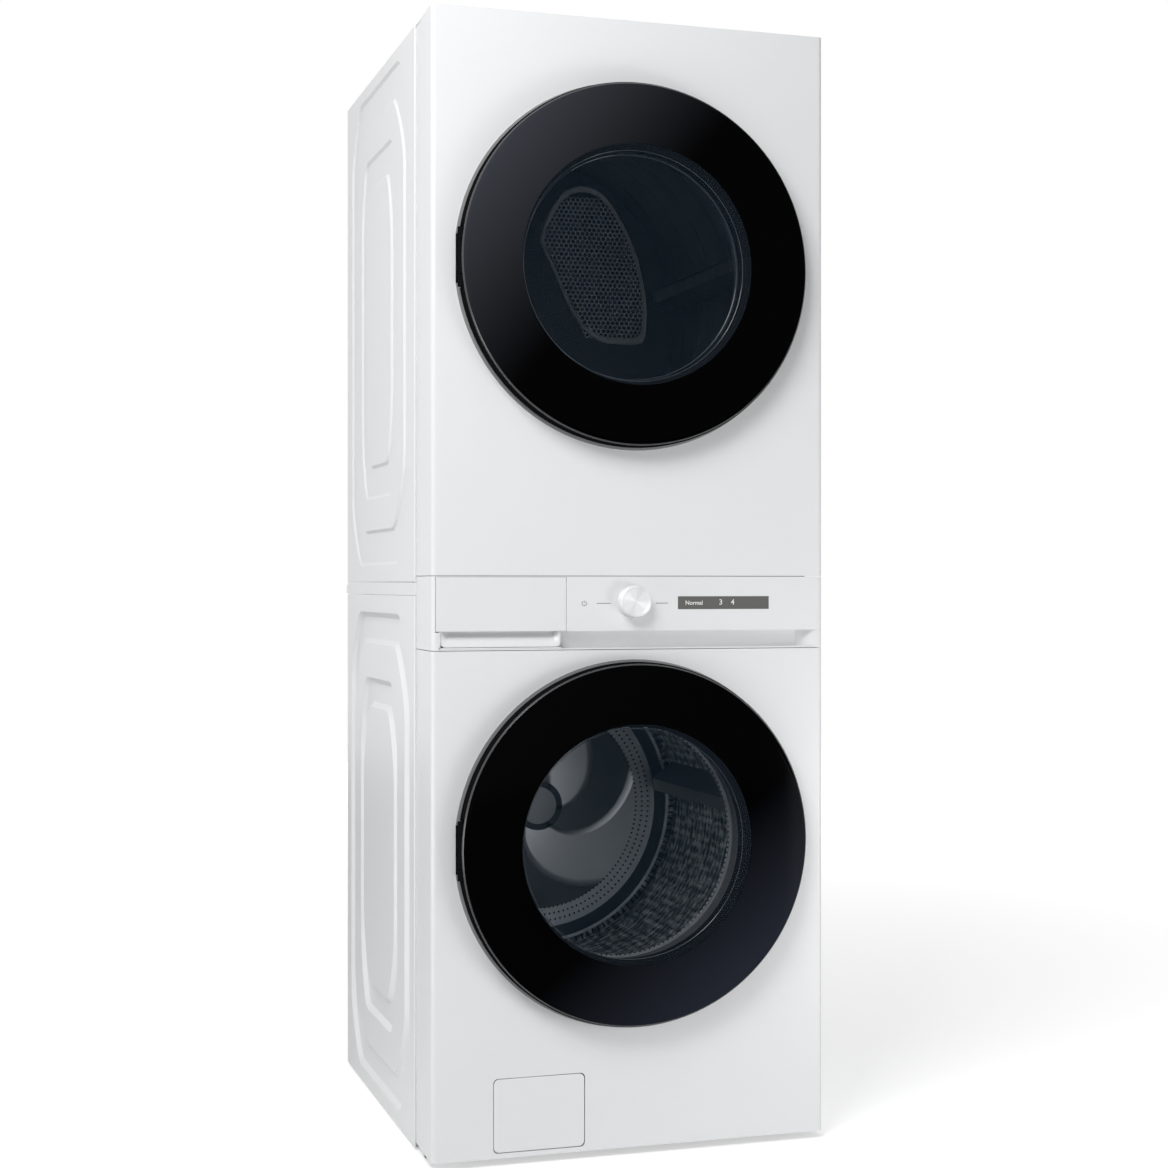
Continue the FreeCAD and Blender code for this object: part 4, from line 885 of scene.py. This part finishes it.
@dataclass
class Grille:
    """The honeycomb plate over the dryer's hot air inlet, in its raised frame.

    The outline's points are X and Z from the drum's axis. A band of the frame is a scale of the outline
    and how far it stands proud there. Cuts are the times that the outline's corners are cut off.
    """

    outline: tuple[tuple[float, float], ...] = (
        (0.126, -0.026), (0.234, -0.030), (0.248, -0.018), (0.251, 0.050), (0.229, 0.148), (0.186, 0.226),
        (0.150, 0.262), (0.096, 0.262), (0.060, 0.214), (0.038, 0.158), (0.058, 0.126))
    pitch: float = 0.0098
    hole: float = 0.0040
    reach: float = 0.3
    plate_front: float = 0.3207
    bands: tuple[tuple[float, float], ...] = (
        (1.004, 0.0012), (1.05, 0.0072), (1.06, 0.0078), (1.07, 0.0074), (1.09, 0.0012))
    cuts: int = 3
    height: float = DRYER_AXIS

    @property
    def step(self) -> float:
        """The height of one row of cells."""
        return self.pitch * math.sqrt(3) / 2

    def inside(self, x: float, z: float) -> bool:
        """Whether a point lies inside the outline.

        Args:
            x: Distance from the drum's axis to the right.
            z: Distance above the axis.

        Returns:
            True inside.
        """
        count, points = 0, self.outline
        for (x1, z1), (x2, z2) in zip(points, points[1:] + points[:1]):
            if (z1 > z) != (z2 > z) and x < x1 + (z - z1) * (x2 - x1) / (z2 - z1):
                count += 1
        return count % 2 == 1

    def nearest(self, x: float, z: float) -> tuple[float, float]:
        """The honeycomb cell that a point lies in.

        Args:
            x: Distance from the drum's axis to the right.
            z: Distance above the axis.

        Returns:
            The cell's middle.
        """
        spots = []
        for row in (math.floor(z / self.step), math.floor(z / self.step) + 1):
            shift = 0.5 * (row % 2) * self.pitch
            spots.append((round((x - shift) / self.pitch) * self.pitch + shift, row * self.step))
        return min(spots, key=lambda spot: math.dist(spot, (x, z)))

    def plate(self) -> None:
        """One pierced cell, repeated in both directions and trimmed to the outline."""
        middle, step, y = (0.0, 0.0, self.height), self.step, self.plate_front
        piece = lathe("grille_plate", [(self.hole, y + 0.0011), (self.hole, y + 0.0003),
                                       (self.hole + 0.0003, y), (self.pitch / 2, y)], middle, 12)
        for vertex in piece.data.vertices:
            x, z = vertex.co.x, vertex.co.z - self.height
            if math.hypot(x, z) > self.hole + 0.0006:
                turn = math.atan2(z, x) % (math.pi / 3)
                grow = 1 / math.cos(min(turn, math.pi / 3 - turn))
                vertex.co.x, vertex.co.z = x * grow, z * grow + self.height
        columns, rows = int(self.reach / self.pitch), int(self.reach / step) // 2
        for vertex in piece.data.vertices:
            vertex.co.x -= self.pitch * 2
            vertex.co.z -= step * 4
        for count, shift in ((columns, (self.pitch, 0, 0)), (2, (self.pitch / 2, 0, step)),
                             (rows, (0, 0, step * 2))):
            modify(piece, "ARRAY", count=count, use_relative_offset=False, use_constant_offset=True,
                   constant_offset_displace=shift)
        begin(piece)
        bpy.ops.mesh.select_all(action="DESELECT")
        bpy.ops.mesh.select_mode(type="FACE")
        bpy.ops.object.mode_set(mode="OBJECT")
        for face in piece.data.polygons:
            face.select = not self.inside(*self.nearest(face.center.x, face.center.z - self.height))
        bpy.ops.object.mode_set(mode="EDIT")
        bpy.ops.mesh.delete(type="FACE")
        bpy.ops.mesh.select_mode(type="VERT")
        end(piece, 30)
        fit(piece, "cabinet", Finish.WEB.material, "steel")

    def frame_band(self) -> None:
        """The raised frame round the plate."""
        points = list(self.outline)
        for _ in range(self.cuts):
            points = [tuple(a * (1 - t) + b * t for a, b in zip(p, q))
                      for p, q in zip(points, points[1:] + points[:1]) for t in (0.25, 0.75)]
        mid_x = sum(x for x, _ in points) / len(points)
        mid_z = sum(z for _, z in points) / len(points)
        ring = primitive("grille_frame", bpy.ops.mesh.primitive_circle_add, vertices=len(points),
                         radius=0.1, fill_type="NOTHING", location=(0, self.plate_front, 0),
                         rotation=(math.pi / 2, 0, 0))
        for vertex, (x, z) in zip(ring.data.vertices, points):
            vertex.co = (x, self.plate_front, z + self.height)
        begin(ring)
        grown, depth = 1.0, 0.0
        for scale, lift in self.bands:
            bpy.ops.mesh.extrude_region_move(TRANSFORM_OT_translate={"value": (0, depth - lift, 0)})
            size = scale / grown
            bpy.ops.transform.resize(value=(size, 1, size), center_override=(mid_x, 0, mid_z + self.height))
            grown, depth = scale, lift
        end(ring, 50)
        fit(ring, "cabinet", Finish.WEB.material, "steel")

    def build(self) -> None:
        """Make the grille."""
        self.plate()
        self.frame_band()


@dataclass
class SidePanel:
    """A pressed side panel: two nested grooves with sloping walls, and a folded edge all round.

    An outline is half its width at the waist and at the ends, and its lowest and highest point. Slant is
    the height over which it widens from an end to the waist.
    """

    node: str
    press: float
    outlines: tuple[tuple[float, float, float, float], ...]
    slant: float = 0.135
    corner: float = 0.022
    soft: float = 0.0009
    fold: float = 0.007
    sheet: float = 0.0012
    points: int = 400
    halvings: int = 26

    def inside(self, y: float, z: float, outline: tuple[float, float, float, float]) -> float:
        """How far a point lies inside a barrel outline.

        Args:
            y: Distance from the panel's centre line.
            z: Height.
            outline: Half width at the waist, half width at the ends, lowest and highest point.

        Returns:
            The distance in metres, negative outside.
        """
        waist, tip, low, high = outline
        a = min(z - low, high - z)
        reach = min(max(a / self.slant, 0.0), 1.0)
        b = tip + (waist - tip) * math.sin(reach * math.pi / 2) - abs(y)
        blend = max(self.corner - abs(a - b), 0.0) / self.corner
        return min(a, b) - blend * blend * self.corner / 4

    def steps(self) -> list[tuple[tuple[float, float, float, float], float, float]]:
        """The loops between the first outline and the middle.

        Returns:
            The outline, the distance inside it and the depth of each.
        """
        s, w = self.soft, self.press
        found = []
        for outer, inner in (self.outlines[:2], self.outlines[2:]):
            found += [(outer, -2 * s, 0.0), (outer, -s, 0.0), (outer, s, s), (outer, w - s, w - s),
                      (outer, w + s, w), (outer, w + 2 * s, w), (inner, -w - 2 * s, w), (inner, -w - s, w),
                      (inner, s - w, w - s), (inner, -s, s), (inner, s, 0.0), (inner, 2 * s, 0.0)]
        return found

    def loop(self, middle: Vector, half: Vector, step: tuple | None, level: float,
             depth: float) -> list[Point]:
        """One closed loop of points.

        Args:
            middle: The middle of the panel's outer face.
            half: Half of its size.
            step: The outline, or nothing for the panel's own edge.
            level: Distance inside the outline.
            depth: Depth below the face.

        Returns:
            One point for each direction from the middle.
        """
        found = []
        inward = math.copysign(depth, -middle.x)
        for i in range(self.points):
            turn = i * 2 * math.pi / self.points
            y, z = math.cos(turn), math.sin(turn)
            far = 1 / max(abs(y), abs(z))
            if step is None:
                reach = far * (1 - level / half.y)
            else:
                near, reach = 0.0, far
                for _ in range(self.halvings):
                    trial = (near + reach) / 2
                    if self.inside(y * trial * half.y, middle.z + z * trial * half.z, step) > level:
                        near = trial
                    else:
                        reach = trial
            found.append((middle.x + inward, middle.y + y * reach * half.y, middle.z + z * reach * half.z))
        return found

    def build(self) -> None:
        """Make the panel from its folded edge to its middle."""
        low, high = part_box(self.node)
        middle, half = (low + high) / 2, (high - low) / 2
        middle.x = low.x if high.x < 0 else high.x
        edge = [(None, 0.0, self.fold), (None, 0.0, self.soft), (None, self.soft, 0.0),
                (None, 2 * self.soft, 0.0)]
        loops = [self.loop(middle, half, *step) for step in edge + self.steps()]
        piece = primitive(self.node + "_sheet", bpy.ops.mesh.primitive_circle_add, vertices=self.points,
                          radius=0.1, fill_type="NOTHING")
        for vertex, place in zip(piece.data.vertices, loops[0]):
            vertex.co = place
        begin(piece)
        for places in loops[1:]:
            bpy.ops.mesh.extrude_region_move()
            bpy.ops.object.mode_set(mode="OBJECT")
            for vertex in piece.data.vertices:
                if vertex.select:
                    turn = math.atan2((vertex.co.z - middle.z) / half.z,
                                      (vertex.co.y - middle.y) / half.y)
                    vertex.co = places[round(turn * self.points / (2 * math.pi)) % self.points]
            bpy.ops.object.mode_set(mode="EDIT")
        bpy.ops.mesh.edge_face_add()
        end(piece, 35)
        widest = max(piece.data.polygons, key=lambda face: face.area)
        if widest.normal.x * middle.x < 0:
            begin(piece)
            bpy.ops.mesh.flip_normals()
            bpy.ops.object.mode_set(mode="OBJECT")
        modify(piece, "SOLIDIFY", thickness=self.sheet, offset=-1.0)
        fit(piece, "cabinet", Finish.WHITE.material, "white_enamel", self.node)


@dataclass
class GrooveEnd:
    """The sloping right-hand end of the finger groove."""

    ramp: float = 0.030
    end_x: float = 0.331
    floor_z: float = 0.8446
    roof_z: float = 0.8729
    near: float = 0.0006
    far: float = 0.0186

    def build(self) -> None:
        """Make the ramp, which rises from the groove's back to the front."""
        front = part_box("control_console")[0].y
        low = (self.end_x - self.ramp, front + self.near, self.floor_z)
        high = (self.end_x, front + self.far, self.roof_z)
        piece = primitive("groove_ramp", bpy.ops.mesh.primitive_cube_add, size=1,
                          location=[(a + b) / 2 for a, b in zip(low, high)],
                          scale=[b - a for a, b in zip(low, high)])
        begin(piece)
        bpy.ops.mesh.subdivide(number_cuts=5)
        bpy.ops.object.mode_set(mode="OBJECT")
        for vertex in piece.data.vertices:
            rise = eased((vertex.co.x - low[0]) / self.ramp)
            floor = high[1] - (high[1] - low[1]) * rise
            share = (vertex.co.y - low[1]) / (high[1] - low[1])
            vertex.co.y = floor + (high[1] - floor) * share
        begin(piece)
        end(piece, 40)
        fit(piece, "cabinet", Finish.WHITE.material, "white_enamel")


@dataclass
class DrawerFace:
    """The detergent drawer's front with its scooped pull, and the trim round the pull."""

    node: str = "drawer_front"
    left: float = -0.3272
    right: float = -0.1250
    bottom: float = 0.8474
    top: float = 0.8740
    corner: float = 0.007
    scoop: float = 0.012
    sheet: float = 0.0015
    end_share: float = 0.12
    end_dip: float = 0.2
    sunk: float = 0.0018
    edge_left: float = -0.3309
    edge_foot: float = 0.8446
    edge_sunk: float = 0.0008
    edge_depth: float = 0.0175

    def panel(self) -> None:
        """The flat front, without the hanging plate of the CAD pull."""
        piece = merged_copy(self.node, "detergent_drawer", Finish.WHITE.material, SLOTS[self.node])
        trim(piece, lambda place: place.z < self.top - 0.0016)
        bpy.ops.object.mode_set(mode="OBJECT")

    def pull(self) -> None:
        """The scooped pull, deep at its top and level with the front at its foot."""
        middle, half = (self.left + self.right) / 2, (self.right - self.left) / 2
        height = self.top - self.bottom
        piece = primitive("drawer_pull", bpy.ops.mesh.primitive_grid_add, x_subdivisions=60,
                          y_subdivisions=16, size=1, location=(middle, 0, self.bottom + height / 2),
                          rotation=(math.pi / 2, 0, 0), scale=(half * 2, height, 1))
        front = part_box(self.node)[0].y + self.sunk
        for vertex in piece.data.vertices:
            rise = vertex.co.z - self.bottom
            side = (vertex.co.x - middle) / half
            low = max(self.corner - rise, 0.0)
            inset = self.corner - math.sqrt(self.corner ** 2 - low ** 2)
            end_rise = eased((1 - abs(side)) / self.end_share)
            dip = eased(rise / height) * (self.end_dip + (1 - self.end_dip) * end_rise)
            vertex.co = (middle + side * (half - inset), front + self.scoop * dip, vertex.co.z)
        begin(piece)
        end(piece, 50)
        modify(piece, "SOLIDIFY", thickness=self.sheet, offset=-1.0)
        fit(piece, "detergent_drawer", Finish.WHITE.material, SLOTS[self.node])

    def edges(self) -> None:
        """The narrow edges of the console to the left of the pull and under it."""
        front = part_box(self.node)[0].y + self.edge_sunk
        corners = {"pull_trim_left": (self.left - 0.0007, self.top - 0.0012),
                   "pull_trim_foot": (self.right + 0.001, self.bottom - 0.0006)}
        for name, (x, z) in corners.items():
            piece = block(name, (self.edge_left, front, self.edge_foot), (x, front + self.edge_depth, z),
                          0.0004, 2)
            fit(piece, "cabinet", Finish.WHITE.material, "white_enamel")

    def build(self) -> None:
        """Make the drawer's face."""
        self.panel()
        self.pull()
        self.edges()


@dataclass
class Dial:
    """The programme knob: a spun face in a fine bright edge."""

    node: str = "cycle_knob"
    segments: int = 96
    spindle: float = 0.004
    depth: float = 0.0182
    edge: float = 0.003

    def build(self) -> None:
        """Make the knob and its spindle."""
        low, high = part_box(self.node)
        r, y = (high.x - low.x) / 2, low.y
        centre = (0.0, y, (low.z + high.z) / 2)
        back = y + self.depth
        outline = [(self.spindle, high.y), (self.spindle, back), (r - 0.001, back), (r, back - 0.001)]
        outline += [(r, y + self.edge)] + rounded((r, y + self.edge), (r, y), (r - 0.0025, y))
        outline += [(r - 0.0045, y), (r - 0.0052, y + 0.0006), (r * 0.5, y + 0.0012), (0.0, y + 0.0014)]
        piece = lathe("programme_knob", outline, centre, self.segments)
        face = SpunFace("spun_knob_face", centre)
        fit(piece, "cycle_knob", made(face), "knob_metal", self.node)


@dataclass
class ConsoleMarks:
    """The printed and lit marks on the console.

    The power sign is X, Z and radius. A line is a name and its two ends, and a word is a name, what it
    says, its left edge and its type size.
    """

    proud: float = 0.0002
    swell: float = 0.00012
    face: float = 0.0
    power_sign: Point = (-0.085, 0.9187, 0.0042)
    lines: tuple[tuple[str, float, float], ...] = (
        ("left_line", -0.0632, -0.0385), ("right_line", 0.040, 0.0618))
    line_height: float = 0.9188
    line_half: float = 0.0006
    words: tuple[tuple[str, str, float, float], ...] = (
        ("display_word", "Normal", 0.0925, 0.0100), ("display_three", "3", 0.1530, 0.0130),
        ("display_four", "4", 0.1745, 0.0130))
    base_line: float = 0.9160

    def text(self, name: str, words: str, x: float, size: float) -> None:
        """Show a word or a number in lit segments on the display.

        Args:
            name: The piece's name.
            words: What it says.
            x: Its left edge.
            size: Its type size.
        """
        deselect()
        bpy.ops.object.text_add(location=(0, 0, 0))
        label = bpy.context.object
        label.data.body = words
        label.data.size = size
        label.data.extrude = self.proud / 2
        label.data.offset = self.swell
        label.data.resolution_u = 4
        bpy.ops.object.convert(target="MESH")
        label.name = name
        label.location = (x, self.face - self.proud / 2, self.base_line)
        label.rotation_euler = (math.pi / 2, 0, 0)
        bpy.ops.object.transform_apply(location=True, rotation=True, scale=True)
        fit(label, "cabinet", Finish.LIT.material, "grey_plastic")

    def power(self, x: float, z: float, radius: float) -> None:
        """The power sign: an open ring and a bar.

        Args:
            x: Its middle.
            z: Its middle's height.
            radius: The ring's outer radius.
        """
        y = self.face - self.proud
        ring = primitive("power_ring", bpy.ops.mesh.primitive_circle_add, vertices=48, radius=radius,
                         fill_type="NOTHING", location=(x, y, z), rotation=(math.pi / 2, 0, 0))
        trim(ring, lambda place: place.z > z + radius * 0.80)
        bpy.ops.mesh.select_all(action="SELECT")
        bpy.ops.mesh.extrude_edges_move()
        bpy.ops.transform.resize(value=(0.78, 1, 0.78), center_override=(x, y, z))
        end(ring)
        modify(ring, "SOLIDIFY", thickness=self.proud, offset=0.0)
        fit(ring, "cabinet", Finish.INK.material, "grey_plastic")
        bar = block("power_bar", (x - radius * 0.12, y - self.proud / 2, z + radius * 0.15),
                    (x + radius * 0.12, y + self.proud / 2, z + radius * 1.15), 0.00005, 1)
        fit(bar, "cabinet", Finish.INK.material, "grey_plastic")

    def line(self, name: str, low: float, high: float) -> None:
        """A short level line beside the knob.

        Args:
            name: The piece's name.
            low: Its left end.
            high: Its right end.
        """
        piece = block(name, (low, self.face - self.proud, self.line_height - self.line_half),
                      (high, self.face + self.proud / 2, self.line_height + self.line_half), 0.00008, 1)
        fit(piece, "cabinet", Finish.INK.material, "grey_plastic")

    def build(self) -> None:
        """Make all the marks."""
        self.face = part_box("control_console")[0].y
        self.power(*self.power_sign)
        for line in self.lines:
            self.line(*line)
        self.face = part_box("display_window")[0].y
        for word in self.words:
            self.text(*word)


# ------------------------------------------------------------------ dressing the CAD nodes

SKINS = {
    Finish.WHITE: "washer_front_panel control_console dryer_front_panel top_cover mid_deck",
    Finish.BACK_STEEL: "washer_rear_panel dryer_rear_panel",
}

TUCKED = ("washer_front_panel", "control_console", "dryer_front_panel")

DRESS = {
    Finish.PALE: "drawer_tray dispenser_housing",
    Finish.DARK_ENAMEL: "rear_bulkhead front_bulkhead heater_duct",
    Finish.STEEL: "base_frame exhaust_duct panel_screws tub_springs idler_arm",
    Finish.TURNED: "damper_cylinders drum_spider motor_shaft",
    Finish.BLACK: "door_latches terminal_cover",
    Finish.RIM: "hinge_brackets washer_door_hinge dryer_door_hinge",
    Finish.GREY: "door_trim_rings washer_tub inlet_valves drain_pump pump_filter_cap "
                 "lint_filter idler_pulley motor_stator",
    Finish.DARK: "drum_lifters",
    Finish.DISPLAY: "display_window",
    Finish.RUBBER: "door_gasket drive_belt drum_roller_left drum_roller_right foot_front_left "
                   "foot_front_right foot_rear_left foot_rear_right",
    Finish.CAST: "counterweight dryer_motor",
}


def tuck(piece: bpy.types.Object, amount: float = 0.003, side: float = 0.338,
         span: tuple[float, float] = (-0.26, -0.23)) -> None:
    """Draw the rear edges of a front sheet's side returns in, behind the side panels' folded edges.

    Args:
        piece: The front sheet's skin.
        amount: How far the edges move.
        side: The distance from the middle past which a point is on a side return.
        span: Where the rear edges lie along Y.
    """
    for vertex in piece.data.vertices:
        if abs(vertex.co.x) > side and span[0] < vertex.co.y < span[1]:
            vertex.co.x -= math.copysign(amount, vertex.co.x)


def dress_nodes() -> None:
    """Give every CAD node its finish, and the large outer sheets a merged smooth skin."""
    for finish, names in DRESS.items():
        for name in names.split():
            put(frame["nodes"][name], finish.material)
    for finish, names in SKINS.items():
        for name in names.split():
            skin = merged_copy(name, "cabinet", finish.material, SLOTS[name])
            if name in TUCKED:
                tuck(skin)
    merged_copy("filter_door", "filter_door", Finish.WHITE.material, SLOTS["filter_door"])
    drums = (("washer_drum", DrumSheet("washer_drum_sheet", WASHER_AXIS, 0.280)),
             ("dryer_drum", DrumSheet("dryer_drum_sheet", DRYER_AXIS, 0.320, False)))
    for name, sheet in drums:
        merged_copy(name, name, made(sheet), SLOTS[name])


# ------------------------------------------------------------------ the studio

@dataclass
class Studio:
    """Floor, world, lamps and camera.

    Turn is in degrees to the right, and lens and sensor are in millimetres. The floor's glow is its
    strength under the machine and its growth per metre.
    """

    eye: Point = (-1.0432, -3.4904, 0.9508)
    turn: float = 17.05
    lens: float = 60.9
    sky: float = 0.275
    floor_size: float = 14.0
    floor_glow: tuple[float, float] = (0.44, 0.09)
    sensor: float = 36.0
    lamps: tuple[tuple[str, Point, Point, float, float], ...] = (
        ("key_lamp", (-1.5, -1.9, 2.9), (-0.3, -0.3, 1.5), 1.4, 58.0),
        ("low_left_lamp", (-2.4, -0.8, 0.3), (-0.34, -0.1, 0.3), 1.0, 13.0),
        ("low_right_lamp", (1.3, -1.6, 0.25), (0.2, -0.3, 0.2), 0.8, 12.0))

    def world(self) -> None:
        """A white room to the eye and to reflections, and an even plain light to the rest."""
        world = bpy.data.worlds.new("studio")
        bpy.context.scene.world = world
        world.use_nodes = True
        tree = world.node_tree
        tree.nodes.clear()

        def add(kind: str, *sources: bpy.types.NodeSocket) -> bpy.types.Node:
            """Add a node with its first inputs linked.

            Args:
                kind: The node's type.
                sources: The outputs that its inputs are linked to, in order.

            Returns:
                The node.
            """
            node = tree.nodes.new(kind)
            for source, socket in zip(sources, node.inputs):
                tree.links.new(source, socket)
            return node

        rays = add("ShaderNodeLightPath")
        seen = rays.outputs["Is Camera Ray"]
        for ray in ("Is Transmission Ray", "Is Glossy Ray"):
            either = add("ShaderNodeMath", seen, rays.outputs[ray])
            either.operation = "MAXIMUM"
            seen = either.outputs[0]
        grounds = []
        for strength in (self.sky, 1.0):
            ground = add("ShaderNodeBackground")
            ground.inputs["Color"].default_value = (1, 1, 1, 1)
            ground.inputs["Strength"].default_value = strength
            grounds.append(ground.outputs[0])
        mix = add("ShaderNodeMixShader", seen, *grounds)
        add("ShaderNodeOutputWorld", mix.outputs[0])

    def floor(self) -> None:
        """A pale floor that keeps the machine's shadow and glows to the eye, more so far away."""
        piece = primitive("floor", bpy.ops.mesh.primitive_plane_add, size=self.floor_size,
                          location=(0, 0, 0))
        graph = Graph("pale_floor", Roughness=0.9, Emission_Strength=1.0)
        near, slope = self.floor_glow
        graph.feed("Base Color", graph.tint(graph.noise(graph.place(), 2.0),
                                            (0.90, 0.90, 0.90), (0.92, 0.92, 0.92)))
        rays = graph.node("ShaderNodeLightPath", output="Is Camera Ray")
        here = graph.place()
        across, along = graph.axis(here, "X"), graph.axis(here, "Y")
        away = (across * across + along * along) ** 0.5
        graph.feed("Emission Color", graph.tint(rays * (away * slope + near), (0, 0, 0), (1, 1, 1)))
        piece.data.materials.append(graph.material)

    def lamp(self, name: str, place: Point, aim: Point, size: float, power: float) -> None:
        """One large soft lamp.

        Args:
            name: Its name.
            place: Where it stands.
            aim: The point that it faces.
            size: Its side.
            power: Its power in watts.
        """
        light = bpy.data.lights.new(name, "AREA")
        light.shape = "SQUARE"
        light.size = size
        light.energy = power
        lamp = bpy.data.objects.new(name, light)
        bpy.context.scene.collection.objects.link(lamp)
        lamp.visible_camera = False
        lamp.location = place
        lamp.rotation_euler = (Vector(aim) - Vector(place)).to_track_quat("-Z", "Y").to_euler()

    def camera(self) -> None:
        """The camera, level, a little to the left of the machine."""
        data = bpy.data.cameras.new("camera")
        data.lens = self.lens
        data.sensor_width = self.sensor
        camera = bpy.data.objects.new("camera", data)
        bpy.context.scene.collection.objects.link(camera)
        camera.location = self.eye
        camera.rotation_euler = (math.pi / 2, 0, -math.radians(self.turn))
        bpy.context.scene.camera = camera

    def build(self) -> None:
        """Set the studio up."""
        self.world()
        self.floor()
        for lamp in self.lamps:
            self.lamp(*lamp)
        self.camera()
        bpy.context.scene.view_settings.view_transform = "Standard"


def side_panels() -> list[SidePanel]:
    """The four pressed side panels.

    Returns:
        The washer's and the dryer's panel of each side, with their depth of press and outlines.
    """
    washer = ((0.272, 0.190, 0.033, 0.898), (0.232, 0.152, 0.090, 0.841),
              (0.170, 0.122, 0.153, 0.776), (0.141, 0.087, 0.207, 0.724))
    dryer = ((0.264, 0.185, 0.986, 1.865), (0.221, 0.139, 1.050, 1.805),
             (0.163, 0.122, 1.109, 1.742), (0.113, 0.081, 1.170, 1.684))
    panels = []
    for side in ("left", "right"):
        panels.append(SidePanel("washer_side_" + side, 0.0080, washer))
        panels.append(SidePanel("dryer_side_" + side, 0.0042, dryer))
    return panels


def main() -> None:
    """Build the machine's looks in order."""
    logging.basicConfig(level=logging.INFO)
    dress_nodes()
    for part in (Door("dryer", "dryer_door", "dryer_door_window", Finish.UPPER_GLASS, Bend.SHALLOW),
                 Door("washer", "washer_door", "washer_door_bowl", Finish.LOWER_GLASS, Bend.DEEP),
                 Grille(), *side_panels(), GrooveEnd(), DrawerFace(), Dial(), ConsoleMarks(), Studio()):
        part.build()
        log.info("%s is done", type(part).__name__)
    bpy.context.view_layer.update()


if __name__ == "__main__":
    main()
